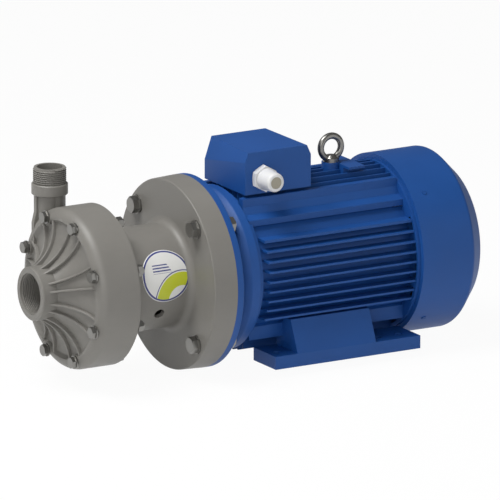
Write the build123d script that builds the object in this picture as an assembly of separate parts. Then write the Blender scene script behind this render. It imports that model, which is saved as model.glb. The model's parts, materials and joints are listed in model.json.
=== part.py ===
from build123d import *
import os
from math import cos, degrees, radians, sin, sqrt

# A magnetic-drive centrifugal pump in plastic, close-coupled to a finned motor of frame size 160L.
# Every piece is drawn about the shaft axis: x runs along the shaft from the motor's flange face,
# towards the fan, and y and z are measured from the axis. put() then moves the piece to the row
# frame, whose origin is the centre of the four foot holes, on the plane that the feet stand on.

# Motor frame size
SHAFT_HEIGHT = 160.0
FOOT_HOLES_Y = 254.0
FOOT_HOLES_X = 254.0
FOOT_HOLES_X_SHORT = 210.0
KEY_W = 12.0
KEY_H = 8.0
KEY_ABOVE_SHAFT = 3.0
KEY_X = (-104.0, -34.0)
FLANGE_TO_FOOT_HOLE = 108.0
FLANGE_D = 350.0
FLANGE_PCD = 300.0
FLANGE_HOLE_D = 19.0
FLANGE_SPOT_DEPTH = 22.0
FLANGE_T = 13.3
SPIGOT_D = 250.0
SPIGOT_T = 5.0
SHAFT_D = 42.0
SHAFT_LENGTH = 110.0
SHAFT_CHAMFER = 1.5
SHAFT_SHOULDER = 4.0
SHAFT_STEP = 1.0
FOOT_HOLE_D = 14.5

# Fasteners that several pieces are drilled for
CASING_BOLT = dict(size=12.0, flats=19.0, head=7.5, washer_r=12.0, washer_t=2.5, nut=10.0)
FLANGE_BOLT = dict(size=18.0, flats=27.0, head=11.5, washer_r=17.0, washer_t=3.0, nut=15.0)
SHIELD_SCREW = dict(size=8.0, flats=13.0, head=5.3)
FOOT_SCREW = dict(size=10.0, head_r=8.0, head=10.0)
BOX_SCREW = dict(size=6.0, head_r=5.0, head=6.0)
LID_SCREW = dict(size=5.0, head_r=4.6)
SOCKET_SHARE = 0.4   # a cap screw's socket, half its width, as a share of the screw's size
BOLT_END = 3.5       # how far a bolt stands out of its nut

# Clearances
LOOSE = 0.2          # parts that are put together by hand
RUNNING = 0.06       # radial, a bush on its shaft
FREE = 0.5           # radial, between pieces that turn past each other
SPANNER_ROOM = 3.0   # round a bolt's head or nut
GLUE = 0.05          # glued or shrunk joints

# Bracket between pump and motor
BRACKET_LENGTH = 190.0
BRACKET_TUBE_D = 188.0
BRACKET_BORE_D = 172.0
BRACKET_FLANGE_T = 45.8
BRACKET_FLANGE_DRAFT = 2.0
BRACKET_FRONT_T = 12.0
BRACKET_FRONT_D = 281.4
BRACKET_ROOT_ROUND = 13.0
BRACKET_FRONT_ROUND = 5.0
BRACKET_EDGE_ROUND = 2.5
SPIGOT_ROOM = 0.5
ACCESS_HOLE_D = 20.0
ACCESS_HOLE_X = -108.0
ACCESS_HOLE_ANGLE = 210.0

# Front casing
CASING_D = 292.0
CASING_DEPTH = 64.0
CASING_SHOULDER = 20.0
CASING_SKIRT = 17.0
CASING_RIM_R = 126.0
CASING_LIP_W = 7.0
CASING_DISH = 6.0
CASING_LIP_ROUND = 4.0
CASING_BOLT_CIRCLE = 265.2
CASING_BOLTS = 8
CASING_PAD_R = 14.5
CASING_PAD_H = 20.0
CASING_PAD_RIM = 1.2
CASING_PAD_SINK = 0.5
CASING_HOLE_ROOM = 0.75
BOSS_D = 97.6
BOSS_REACH = 62.0
BOSS_CHAMFER = 2.0
SUCTION_THREAD_D = 75.2
SUCTION_THREAD_LENGTH = 30.0
SUCTION_BORE_D = 72.0
CREST_CURVE_R = 84.0
FACE_CURVE_R = 95.0
RIB_T = 4.0
RIB_ANGLE = 9.0
RIB_ROUND = 1.5
RIB_END_R = 125.0
RIB_DEPTH = 16.0
RIB_SINK = 2.0
VOLUTE_R = 107.0
VOLUTE_SHIFT = 9.0
VOLUTE_DEPTH = 43.0
NECK_RING_DEPTH = 14.0
OUTLET_START = (90.0, 20.0)
OUTLET_START_R = 15.0
OUTLET_SHIFT = 4.0
OUTLET_TOP = 112.0
DISCHARGE_X = -228.0
DISCHARGE_Y = 102.0
DISCHARGE_BORE_D = 46.4
DISCHARGE_THREAD_D = 56.7
DISCHARGE_TOP = 199.4
DISCHARGE_THREAD_LENGTH = 28.0
COLLAR_D = 65.8
COLLAR_LOW = 149.5
COLLAR_HIGH = 170.0
NECK_D = 53.2
NECK_LOW = 40.0
NECK_RIB_D = 60.0
NECK_RIB_W = 9.0
NECK_RIB_FOOT = 5.0
NECK_RIB_Z = (60.0, 100.0, 120.0)
COLLAR_CHAMFER = 1.5

# Containment shell and its ring seal
CAN_FLANGE_T = 10.0
CAN_D = 120.0
CAN_WALL = 5.0
CAN_END = -128.0
CAN_ROUNDS = (4.0, 6.0, 3.0)
CAN_SOCKET_D = 36.0
CAN_SOCKET_DEPTH = 9.0
SEAL_R = 121.8
SEAL_W = 4.2
SEAL_H = 3.2

# Fixed shaft, thrust rings and impeller
PUMP_SHAFT_D = 20.0
BUSH_D = 32.0
THRUST_RING_D = 34.0
THRUST_RING_T = 5.0
REAR_RING_T = 3.0
END_PLAY = 0.4
SUPPORT_T = 22.0
SUPPORT_HUB_D = 28.0
SUPPORT_WEB_T = 6.0
SUPPORT_RIM_T = 4.0
SUPPORT_NOSE = (6.0, 4.0)
SUPPORT_NOSE_ROUNDS = (3.0, 8.0)
SUPPORT_STOP = 4.0
SUPPORT_WEB_IN = 2.0
SUPPORT_GAP = 9.0
IMPELLER_D = 184.0
IMPELLER_DISC_T = 5.0
IMPELLER_BACK_GAP = 4.0
IMPELLER_OUTLET = 23.0
IMPELLER_EYE_D = 73.0
IMPELLER_NECK_D = 81.0
IMPELLER_SHROUD_T = 3.5
IMPELLER_HUB_D = 52.0
IMPELLER_HUB_FLARE = (2.0, 6.0)
IMPELLER_HUB_ROUND = 1.5
IMPELLER_NOSE_IN = 6.0
IMPELLER_NECK_GAP = 1.0
VANES = 6
VANE_T = 4.0
VANE_SWEEP = (42.0, 62.0)
VANE_SINK = (2.0, 1.0)

# Magnet coupling
CARRIER_D = 103.0
CARRIER_NOSE_D = 42.0
CARRIER_WALL = 3.5
INNER_MAGNET_T = 10.0
MAGNET_LENGTH = 42.0
MAGNETS = 12
MAGNET_SPAN = 26.0
MAGNET_CAP_T = 4.0
CARRIER_SHOULDER_GAP = 4.0
CARRIER_TIP_IN = 8.0
CARRIER_TIP_T = 2.0
CARRIER_ROUNDS = (4.0, 1.5)
CARRIER_NOSE = 30.0
BELL_D = 160.0
BELL_BORE_D = 142.0
DRIVE_MAGNET_T = 8.0
BELL_FRONT = -186.0
BELL_WEB = -123.0
BELL_WEB_T = 12.0
BELL_HUB_END = -62.0
BELL_HUB_D = 76.0
GRUB_SCREW_X = -102.0
GRUB_SCREW_D = 10.0
GRUB_SCREW_SINK = 3.0
GRUB_SOCKET = (2.5, 5.0)
BELL_ROUNDS = (4.0, 3.0)
BELL_MAGNET_IN = 2.0

# Motor frame
BARREL_D = 260.0
BARREL_BORE_D = 244.0
BARREL_FRONT = 62.0
FIN_FRONT = 80.0
FIN_T = 3.6
FIN_ROOT = 4.0
EDGE_FIN_GROWTH = 1.4
FIN_PITCH = 18.0
SIDE_FIN_D = 302.0
TOP_FIN_D = 308.0
BOTTOM_FIN_D = 306.0
RAIL_FRONT = 66.0
UPPER_RAIL = (
    (60.0, 104.0), (64.0, 140.0), (78.0, 140.0), (78.0, 125.0), (84.0, 112.0),
    (100.0, 105.0), (100.0, 94.0), (86.0, 90.0), (76.0, 92.0),
)
LOWER_RAIL_IN = ((72.0, -104.0), (80.0, -80.0), (96.0, -86.0))
COLLAR_BACK = 72.0
COLLAR_R = 141.0
LUG_R = 114.5
LUG_D = 18.0
LUG_LENGTH = 24.0
REAR_THREAD_DEPTH = 20.0
TOP_PAD_X = (303.0, 336.0)
TOP_PAD_Y = 100.0
TOP_PAD_Z = (158.5, 163.0)
TOP_PAD_FOOT_Y = 60.0
TOP_PAD_FOOT_Z = 146.0
EYE_X = 294.6
EYE_BOSS_D = 34.0
EYE_SEAT = 165.0

# End shields, seals and bearings (bore, outside and width of the deep-groove bearings)
SHIELD_RIM_D = 298.0
SHIELD_CONE_D = 254.0
SHIELD_CONE_END = 46.0
BEARING_BORE_D = 45.0
BEARING_D = 100.0
BEARING_W = 25.0
BEARING_BALLS = 8
BALL_D = 17.1
BALL_GROOVE_D = 17.8
FRONT_BEARING_X = 20.0
REAR_BEARING_GAP = 30.0
BARREL_PAST_BEARING = 11.0
BEARING_SHOULDER = 6.6
CAGE_W = 15.0
CAGE_T = 3.2
SEAL_RING_D = 62.0
SEAL_RING_T = 10.0
SEAL_SEAT_D = 44.0
SEAL_LIP_GAP = 0.3
WASHER_T = 2.0
WASHER_BORE_D = 87.0
SHIELD_FACE_X = 2.0
SHIELD_HUB_R = 62.0
SHIELD_STOP_R = 42.0
SHIELD_DISH = (8.0, 98.0)
SPIGOT_WALL = 22.0
SHIELD_WEB = ((50.0, 115.8), (30.0, 100.0), (26.0, 68.0))
SHIELD_REGISTER = 8.0
SHIELD_REGISTER_WALL = 6.0
SHIELD_ROUNDS = (1.5, 4.0, 5.0)
SHIELD_SCREW_SEAT = 12.0
REAR_SHIELD_T = 8.0
REAR_SHIELD_D = 310.0
REAR_HUB = ((-2.0, 60.0), (18.0, 66.0))
AIR_SLOT_R = (133.0, 148.0)
AIR_SLOTS = ((0.0, 30.0), (-26.0, 12.0), (26.0, 12.0))
COVER_LUG_R = 145.0
COVER_LUG_W = 18.0
COVER_LUG_PAST_SCREW = 10.0
SHIELD_SCREW_PCD = 270.0
SHIELD_SCREW_LENGTH = (68.0, 26.0)

# Rotor and stator
STATOR_BORE_D = 160.4
ROTOR_D = 159.0
CORE_FRONT = 120.0
WINDING_ROUND = 8.0
REAR_WINDING_REACH = 28.0
ROTOR_RING_BORE_D = 108.0
CORE_LENGTH = 200.0
CORE_SEAT_D = 54.0
WINDING_REACH = 34.0
WINDING_BORE_D = 172.0
WINDING_D = 236.0
ROTOR_RING_REACH = 16.0

# Fan and its cover
FAN_D = 260.0
FAN_GAP = 24.0
FAN_DISC_T = 4.0
FAN_TAPER = 12.0
FAN_HUB_W = 46.0
CLIP_T = 1.8
CLIP_DEPTH = 1.5
CLIP_W = 4.0
CLIP_GAP = 10.0
FAN_W = 58.0
FAN_BLADES = 8
FAN_BLADE_T = 3.5
FAN_HUB_D = 58.0
FAN_SEAT_D = 38.0
COVER_D = 330.0
COVER_ROOM = 55.0
COVER_CONE = 34.0
COVER_BACK_D = 262.0
COVER_WALL = 2.5
COVER_SLOPE = 0.414
COVER_ROUNDS = (8.0, 6.0, 3.5, 5.5)
COVER_SCREW_IN = 26.0
COVER_SCREW_D = 6.0
COVER_SCREW_HEAD_R = 4.8
COVER_SCREW_HEAD_T = 1.2
COVER_SCREW_SLOT = 1.2
GRILLE_RINGS = 5
GRILLE_PITCH = 21.0
GRILLE_SLOT = 13.0
GRILLE_HUB_R = 18.0
GRILLE_SPOKES = 6
GRILLE_SPOKE_W = 8.0

# Feet
FOOT_PAST_HOLES = (18.6, 28.4)
FOOT_SCREW_SINK = 16.0
FOOT_OUT = 155.6
FOOT_IN = 76.6
FOOT_T = 23.8
LEG_X = (135.0, 298.0)
LEG_TOP = (130.0, -79.0)
LEG_TOP_IN = 106.0
RAIL_FACE_Y = 101.2
RAIL_LOW_Z = -115.0
RAIL_IN_Y = 80.0
RAIL_EDGE_Z = -91.0
FOOT_SCREW_X = (165.0, 268.0)
FOOT_SCREW_Y = 90.0
FOOT_THREAD_TOP = -97.0
FOOT_SCREW_ROOM = 2.0

# Terminal box
BOX_X = (73.0, 209.0)
BOX_Y = (-75.0, 70.0)
BOX_BOTTOM = 146.0
BOX_DEPTH = 59.6
LID_DEPTH = 17.4
BOX_FRONT_SLOPE = (6.0, 23.8)
BOX_BACK_SLOPE = (8.0, 10.0)
BOX_WALL = 4.0
BOX_FLOOR_T = 6.0
GASKET_T = 1.5
GASKET_W = 3.0
GASKET_GAP = 0.1
NECK_X = (86.0, 196.0)
NECK_Y = 52.0
LEAD_HOLE_D = 44.0
BOARD_SIZE = (76.0, 46.0, 18.0)
BOARD_FEET = (10.0, 8.0)
STUD_PITCH = (22.0, 12.0)
STUD_R = 2.9
STUD_SPAN = (8.0, 16.0)
STUD_NUT = (5.0, 5.0)
BOX_SCREW_X = (98.0, 184.0)
BOX_SCREW_Y = 42.0
BOX_SCREW_LENGTH = 17.0
BOX_THREAD_DEPTH = 14.0
LID_POST_D = 12.0
LID_POST_X = (102.0, 190.0)
LID_POST_Y = (-66.0, 61.0)
LID_POST_LENGTH = 12.0
LID_HEAD_T = 3.0

# Cable gland, for an M32 entry
GLAND_X = 109.0
GLAND_ABOVE_FLOOR = 29.0
GLAND_D = 32.0
GLAND_BORE_D = 25.0
GLAND_HEX = 42.0
GLAND_HEX_T = 13.0
GLAND_NUT_D = 40.0
GLAND_NUT_LENGTH = 36.0
GLAND_NUT_GAP = 0.5
GLAND_NUT_WALL = 3.3
GLAND_NUT_TAPER = 3.0
GLAND_NUT_ROUNDS = (1.2, 5.0)
GLAND_NUT_LIP = (4.0, 12.0)
GLAND_NECK = 18.0
GLAND_TAIL = 8.0
GLAND_SEAL_R = 16.0
GLAND_MOUTH_D = 22.0
GLAND_PLUG_IN = 1.2
GLAND_PLUG_T = 12.0

# Lifting eye
EYE_RING_OD = 54.0
EYE_RING_ID = 30.0
EYE_COLLAR_D = 30.0
EYE_HEIGHT = 53.0
EYE_COLLAR_T = 7.0
EYE_NECK = (2.0, 8.0, 6.0)
EYE_THREAD_D = 12.0
EYE_THREAD_LENGTH = 20.0

# Worked out from the sizes above
FACE_X = -(FLANGE_TO_FOOT_HOLE + FOOT_HOLES_X / 2)
BRACKET_FRONT = -BRACKET_LENGTH
CASING_BACK = BRACKET_FRONT - CAN_FLANGE_T
RIM_X = CASING_BACK - CASING_DEPTH
BOSS_FRONT = RIM_X - BOSS_REACH
VOLUTE_FRONT = CASING_BACK - VOLUTE_DEPTH
CASING_BOLT_HOLE_R = CASING_BOLT["size"] / 2 + CASING_HOLE_ROOM
CASING_SEAT = RIM_X + CASING_PAD_SINK
SOCKET_FRONT = CAN_END - CAN_WALL - CAN_SOCKET_DEPTH
SUPPORT_BACK = VOLUTE_FRONT - NECK_RING_DEPTH - SUPPORT_GAP
SUPPORT_FRONT = SUPPORT_BACK - SUPPORT_T
BUSH_BACK = SOCKET_FRONT - REAR_RING_T - END_PLAY / 2
BUSH_FRONT = SUPPORT_BACK + THRUST_RING_T + END_PLAY / 2
CARRIER_FRONT = CASING_BACK + CARRIER_SHOULDER_GAP
DISC_BACK = CASING_BACK - IMPELLER_BACK_GAP
DISC_FRONT = DISC_BACK - IMPELLER_DISC_T
SHROUD_BACK = DISC_FRONT - IMPELLER_OUTLET
SHROUD_FRONT = SHROUD_BACK - IMPELLER_SHROUD_T
NOSE_FRONT = DISC_FRONT - CARRIER_NOSE
KEY_TOP = SHAFT_D / 2 + KEY_ABOVE_SHAFT
CORE_BACK = CORE_FRONT + CORE_LENGTH
REAR_BEARING_X = CORE_BACK + REAR_BEARING_GAP
BARREL_BACK = REAR_BEARING_X + BEARING_W + BARREL_PAST_BEARING
REAR_FACE = BARREL_BACK + REAR_SHIELD_T
BALL_PITCH_R = (BEARING_BORE_D + BEARING_D) / 4
FAN_FRONT = REAR_FACE + FAN_GAP
COVER_FRONT = REAR_FACE - COVER_WALL
COVER_SCREW_X = REAR_FACE + COVER_SCREW_IN
COVER_BACK = FAN_FRONT + FAN_W + COVER_ROOM
COVER_SHOULDER = COVER_BACK - COVER_CONE
FOOT_X = (FLANGE_TO_FOOT_HOLE - FOOT_PAST_HOLES[0], FLANGE_TO_FOOT_HOLE + FOOT_HOLES_X + FOOT_PAST_HOLES[1])
FOOT_SCREW_SEAT = -SHAFT_HEIGHT + FOOT_SCREW_SINK
BOX_SPLIT = BOX_BOTTOM + BOX_DEPTH
BOX_TOP = BOX_SPLIT + LID_DEPTH
BOX_MIDDLE = (BOX_X[0] + BOX_X[1]) / 2
GLAND_Z = BOX_BOTTOM + GLAND_ABOVE_FLOOR


def put(part):
    """Move the solids of a piece from the shaft's own frame to the row frame."""
    move = Location((FACE_X, 0, SHAFT_HEIGHT))
    solids = [move * solid for solid in part.solids()]
    return Compound(solids) if len(solids) > 1 else solids[0]


def filled(*lines):
    """Face inside lines and arcs that join end to end."""
    return make_face([edge for line in lines for edge in line.edges()])


def nearest(face, x, y):
    """Corner of a flat face that lies nearest to a point."""
    return face.vertices().sort_by(lambda v: (Vector(v.X, v.Y) - Vector(x, y)).length)[0]


def turned(*corners, rounds=()):
    """Solid turned about the shaft axis from (x, radius) corners; rounds are (corner, radius)."""
    face = make_face(Polyline(*corners, close=True))
    for corner, radius in rounds:
        face = fillet(nearest(face, *corners[corner]), radius)
    return revolve(face, Axis.X)


def ring(x0, x1, inner, outer):
    """Ring about the shaft axis between two radii."""
    return turned((x0, inner), (x1, inner), (x1, outer), (x0, outer))


def rod(x0, x1, radius, y=0.0, z=0.0):
    """Round bar along x."""
    return Pos((x0 + x1) / 2, y, z) * Rot(0, 90, 0) * Cylinder(radius, abs(x1 - x0))


def post(z0, z1, radius, x=0.0, y=0.0):
    """Round bar along z."""
    return Pos(x, y, (z0 + z1) / 2) * Cylinder(radius, z1 - z0)


def radial(x, y0, y1, radius):
    """Round bar along y, at a place along the shaft."""
    return Pos(x, (y0 + y1) / 2, 0) * Rot(90, 0, 0) * Cylinder(radius, y1 - y0)


def block(xs, ys, zs):
    """Box between two corners, given as ranges."""
    size = [b - a for a, b in (xs, ys, zs)]
    return Pos(*[(a + b) / 2 for a, b in (xs, ys, zs)]) * Box(*size)


def polar(radius, degrees):
    """y and z of a point about the shaft axis."""
    return radius * cos(radians(degrees)), radius * sin(radians(degrees))


def angles(count, first=0.0):
    """Evenly spaced angles of a full circle, in degrees."""
    return [first + 360.0 / count * k for k in range(count)]


def ring_of(part, count, first=0.0):
    """Copies of a piece turned about the shaft axis."""
    return [Rot(a, 0, 0) * part for a in angles(count, first)]


def joined(pieces):
    """One solid made of touching pieces."""
    pieces = list(pieces)
    return pieces[0].fuse(*pieces[1:]) if len(pieces) > 1 else pieces[0]


def less(part, cutters):
    """A piece with several cutters taken away."""
    return part.cut(*cutters)


def group(pieces):
    """Separate solids that share one node."""
    return Compound([solid for piece in pieces for solid in piece.solids()])


def along(face, x0, x1):
    """Extrude a cross-section along the shaft axis."""
    return extrude(Plane.YZ.offset(x0) * face, x1 - x0, dir=(1, 0, 0))


def sector(x0, x1, inner, outer, middle, span):
    """Sector of a ring, between two radii and two places along the shaft."""
    half = span / 2
    a = polar(inner, middle - half)
    b = polar(outer, middle - half)
    c = polar(outer, middle + half)
    d = polar(inner, middle + half)
    face = filled(
        Line(a, b),
        ThreePointArc(b, polar(outer, middle), c),
        Line(c, d),
        ThreePointArc(d, polar(inner, middle), a),
    )
    return along(face, x0, x1)


def hex_bar(x0, x1, across_flats, y=0.0, z=0.0, turn=0.0):
    """Hexagonal bar along x with its ends' corners taken off."""
    width = abs(x1 - x0)
    middle = (x0 + x1) / 2
    hexagon = RegularPolygon(across_flats / 2, 6, major_radius=False)
    bar = Rot(0, 90, 0) * extrude(hexagon, width / 2, both=True)
    corner = across_flats / sqrt(3)
    drop = (corner - across_flats / 2) / sqrt(3)
    dome = turned(
        (-width / 2, 0), (-width / 2, across_flats / 2), (-width / 2 + drop, corner),
        (width / 2, corner), (width / 2, 0),
    )
    return Pos(middle, y, z) * Rot(turn, 0, 0) * (bar & dome)


def bolt(seat, length, size, across_flats, head, radius, degrees):
    """Hexagon bolt on a bolt circle, its head's underside at seat and its shank towards the motor."""
    y, z = polar(radius, degrees)
    return joined([
        hex_bar(seat - head, seat, across_flats, y, z, degrees),
        rod(seat, seat + length, size / 2, y, z),
    ])


def nut(x0, width, across_flats, size, radius, degrees):
    """Hexagon nut on a bolt circle, with its rounded face towards the motor."""
    y, z = polar(radius, degrees)
    bar = hex_bar(-width / 2, width / 2, across_flats, 0, 0, -degrees)
    bar = Pos(x0 + width / 2, y, z) * Rot(0, 0, 180) * bar
    return bar - rod(x0, x0 + width, size / 2 + LOOSE / 2, y, z)


def disc_washer(x0, width, inner, outer, radius, degrees):
    """Flat washer on a bolt circle."""
    y, z = polar(radius, degrees)
    return rod(x0, x0 + width, outer, y, z) - rod(x0, x0 + width, inner, y, z)


def bolt_holes(x0, x1, radius, circle, degrees):
    """Holes along x on a bolt circle."""
    return [rod(x0, x1, radius, *polar(circle, a)) for a in degrees]


# Where the bolts and screws stand round the shaft, in degrees
CASING_ANGLES = angles(CASING_BOLTS, 22.5)
FLANGE_ANGLES = angles(4, 45.0)
GRUB_ANGLES = (0.0, ACCESS_HOLE_ANGLE - 90)


# Pump, wet end

def crest(x_centre, r_centre, curve_r, radius):
    """x of a concave curve in the casing's front at a radius."""
    return x_centre + sqrt(curve_r ** 2 - (radius - r_centre) ** 2)


def casing_rib():
    """One rib of the front casing, drawn on the +y side."""
    centre_x = RIM_X - CREST_CURVE_R
    low = BOSS_D / 2 - RIB_SINK
    middle = (low + RIB_END_R) / 2
    points = [(crest(centre_x, RIB_END_R, CREST_CURVE_R, r), r) for r in (low, middle, RIB_END_R)]
    face = filled(
        ThreePointArc(*points),
        Polyline(points[2], (RIM_X + RIB_DEPTH, RIB_END_R), (points[0][0] + 2 * RIB_DEPTH, low), points[0]),
    )
    rib = extrude(face, RIB_T / 2, both=True)
    crests = rib.edges().filter_by(GeomType.CIRCLE)
    return fillet(crests, RIB_ROUND)


def front_casing():
    """Drum with suction boss, sixteen ribs, eight bolt pads and the threaded discharge neck."""
    drum_r = CASING_D / 2
    boss_r = BOSS_D / 2
    dish_r = CASING_RIM_R - CASING_LIP_W
    dish_x = RIM_X + CASING_DISH
    face_centre = dish_x - sqrt(FACE_CURVE_R ** 2 - (RIB_END_R - dish_r) ** 2)
    boss_root = crest(face_centre, RIB_END_R, FACE_CURVE_R, boss_r)
    middle_r = (boss_r + dish_r) / 2
    middle = (crest(face_centre, RIB_END_R, FACE_CURVE_R, middle_r), middle_r)
    face = filled(
        Polyline(
            (boss_root, boss_r), (BOSS_FRONT + BOSS_CHAMFER, boss_r), (BOSS_FRONT, boss_r - BOSS_CHAMFER),
            (BOSS_FRONT, 0), (CASING_BACK + CASING_SKIRT, 0), (CASING_BACK + CASING_SKIRT, drum_r),
            (RIM_X, drum_r), (RIM_X, CASING_RIM_R), (dish_x, dish_r),
        ),
        ThreePointArc((dish_x, dish_r), middle, (boss_root, boss_r)),
    )
    for x, radius, size in ((RIM_X, drum_r, CASING_SHOULDER), (dish_x, dish_r, CASING_LIP_ROUND)):
        face = fillet(nearest(face, x, radius), size)
    body = revolve(face, Axis.X)
    rib = casing_rib()
    ribs = [Rot(a + side, 0, 0) * rib for a in CASING_ANGLES for side in (-RIB_ANGLE, RIB_ANGLE)]
    pad_back = RIM_X + CASING_PAD_H
    pads = [rod(RIM_X, pad_back, CASING_PAD_R, *polar(CASING_BOLT_CIRCLE / 2, a)) for a in CASING_ANGLES]
    pads = [pad & rod(RIM_X, pad_back, drum_r) for pad in pads]
    body = joined([body, *ribs, *pads, *discharge_neck()])
    return less(body, [
        *casing_hollows(),
        *bolt_holes(RIM_X, CASING_BACK, CASING_BOLT_HOLE_R, CASING_BOLT_CIRCLE / 2, CASING_ANGLES),
        *bolt_holes(RIM_X, CASING_SEAT, CASING_PAD_R - CASING_PAD_RIM, CASING_BOLT_CIRCLE / 2, CASING_ANGLES),
    ])


def discharge_neck():
    """Neck, its four ribs, collar and threaded spout, all solid."""
    at = dict(x=DISCHARGE_X, y=DISCHARGE_Y)
    collar = chamfer(post(COLLAR_LOW, COLLAR_HIGH, COLLAR_D / 2, **at).edges(), COLLAR_CHAMFER)
    crest_r = NECK_RIB_D / 2
    foot_r = crest_r + NECK_RIB_FOOT
    low, flare, straight = NECK_RIB_Z
    crest_top = COLLAR_LOW + COLLAR_CHAMFER
    ribs = []
    for turn in angles(4):
        outline = Polyline(
            (0, low), (foot_r, low), (foot_r, flare), (crest_r, straight), (crest_r, crest_top),
            (0, crest_top), close=True,
        )
        rib = extrude(Plane.XZ * make_face(outline), NECK_RIB_W / 2, both=True)
        ribs.append(Pos(DISCHARGE_X, DISCHARGE_Y, 0) * Rot(0, 0, turn) * rib)
    return [
        post(NECK_LOW, DISCHARGE_TOP, NECK_D / 2, **at),
        post(COLLAR_HIGH, DISCHARGE_TOP, DISCHARGE_THREAD_D / 2, **at),
        collar,
        *ribs,
    ]


def casing_hollows():
    """Everything that is hollow in the front casing: suction, volute, discharge and skirt."""
    neck_gap = IMPELLER_NECK_D / 2 + FREE
    volute = Pos(0, VOLUTE_SHIFT, 0) * rod(VOLUTE_FRONT, CASING_BACK, VOLUTE_R)
    start = Pos(DISCHARGE_X + OUTLET_SHIFT, *OUTLET_START) * Circle(OUTLET_START_R)
    end = Pos(DISCHARGE_X, DISCHARGE_Y, OUTLET_TOP) * Circle(DISCHARGE_BORE_D / 2)
    return [
        rod(BOSS_FRONT, BOSS_FRONT + SUCTION_THREAD_LENGTH, SUCTION_THREAD_D / 2),
        rod(BOSS_FRONT, VOLUTE_FRONT, SUCTION_BORE_D / 2),
        rod(VOLUTE_FRONT - NECK_RING_DEPTH, VOLUTE_FRONT, neck_gap),
        volute,
        loft([start, end]),
        post(OUTLET_TOP, DISCHARGE_TOP, DISCHARGE_BORE_D / 2, DISCHARGE_X, DISCHARGE_Y),
        rod(CASING_BACK, CASING_BACK + CASING_SKIRT, BRACKET_FRONT_D / 2 + LOOSE),
    ]


def containment_shell():
    """Flanged can that closes the wet end, with the groove of the ring seal and the shaft's socket."""
    can_r = CAN_D / 2
    floor = CAN_END - CAN_WALL
    root, outside, inside = CAN_ROUNDS
    body = turned(
        (CASING_BACK, BRACKET_FRONT_D / 2), (BRACKET_FRONT, BRACKET_FRONT_D / 2), (BRACKET_FRONT, can_r),
        (CAN_END, can_r), (CAN_END, 0), (SOCKET_FRONT, 0), (SOCKET_FRONT, CAN_SOCKET_D / 2),
        (floor, CAN_SOCKET_D / 2), (floor, can_r - CAN_WALL), (CASING_BACK, can_r - CAN_WALL),
        rounds=((2, root), (3, outside), (8, inside)),
    )
    return less(body, [
        ring(CASING_BACK, CASING_BACK + SEAL_H, SEAL_R - SEAL_W / 2, SEAL_R + SEAL_W / 2),
        rod(SOCKET_FRONT, floor, PUMP_SHAFT_D / 2),
        *bolt_holes(CASING_BACK, BRACKET_FRONT, CASING_BOLT_HOLE_R, CASING_BOLT_CIRCLE / 2, CASING_ANGLES),
    ])


def casing_o_ring():
    """Ring seal, pressed flat in its groove."""
    section = Pos(CASING_BACK + SEAL_H / 2, SEAL_R) * Rectangle(SEAL_H, SEAL_W)
    section = chamfer(section.vertices(), SEAL_H / 3)
    return revolve(section, Axis.X)


def shaft_support():
    """Ring with three webs in the suction bore, holding the front end of the fixed shaft."""
    outer = SUCTION_BORE_D / 2 - GLUE
    hub_r = SUPPORT_HUB_D / 2
    reach, tip_r = SUPPORT_NOSE
    tip = SUPPORT_FRONT - reach
    rim = ring(SUPPORT_FRONT, SUPPORT_BACK, outer - SUPPORT_RIM_T, outer)
    hub = turned(
        (tip, 0), (tip, tip_r), (SUPPORT_FRONT + SUPPORT_STOP, hub_r), (SUPPORT_BACK, hub_r),
        (SUPPORT_BACK, 0),
        rounds=((1, SUPPORT_NOSE_ROUNDS[0]), (2, SUPPORT_NOSE_ROUNDS[1])),
    )
    web = block((SUPPORT_FRONT + SUPPORT_WEB_IN, SUPPORT_BACK - SUPPORT_WEB_IN),
                (hub_r / 2, outer - SUPPORT_WEB_IN), (-SUPPORT_WEB_T / 2, SUPPORT_WEB_T / 2))
    body = joined([rim, hub, *ring_of(web, 3, 90)])
    return body - rod(SUPPORT_FRONT + SUPPORT_STOP, SUPPORT_BACK, PUMP_SHAFT_D / 2)


def ceramic_shaft():
    """Fixed shaft, held in the support in front and in the can's socket behind."""
    return rod(SUPPORT_FRONT + SUPPORT_STOP, CAN_END - CAN_WALL, PUMP_SHAFT_D / 2)


def front_thrust_ring():
    """Ceramic ring between the support's hub and the bush."""
    return ring(SUPPORT_BACK, SUPPORT_BACK + THRUST_RING_T, PUMP_SHAFT_D / 2 + GLUE, THRUST_RING_D / 2)


def rear_thrust_ring():
    """Ceramic ring between the can's socket and the bush."""
    return ring(SOCKET_FRONT - REAR_RING_T, SOCKET_FRONT, PUMP_SHAFT_D / 2 + GLUE, THRUST_RING_D / 2)


def impeller_bush():
    """Long bush that runs on the fixed shaft."""
    return ring(BUSH_FRONT, BUSH_BACK, PUMP_SHAFT_D / 2 + RUNNING, BUSH_D / 2)


def magnet_carrier():
    """Plastic capsule for the driven magnets, with the nose that the impeller sits on."""
    pocket_r = CARRIER_D / 2 - CARRIER_WALL
    tip = BUSH_FRONT + CARRIER_TIP_IN
    body = turned(
        (tip, BUSH_D / 2), (tip, BUSH_D / 2 + CARRIER_TIP_T), (NOSE_FRONT, CARRIER_NOSE_D / 2),
        (CARRIER_FRONT, CARRIER_NOSE_D / 2), (CARRIER_FRONT, CARRIER_D / 2), (BUSH_BACK, CARRIER_D / 2),
        (BUSH_BACK, BUSH_D / 2), rounds=((4, CARRIER_ROUNDS[0]), (5, CARRIER_ROUNDS[1])),
    )
    pocket = ring(BUSH_BACK - MAGNET_CAP_T - MAGNET_LENGTH, BUSH_BACK, pocket_r - INNER_MAGNET_T, pocket_r)
    return body - pocket


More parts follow.
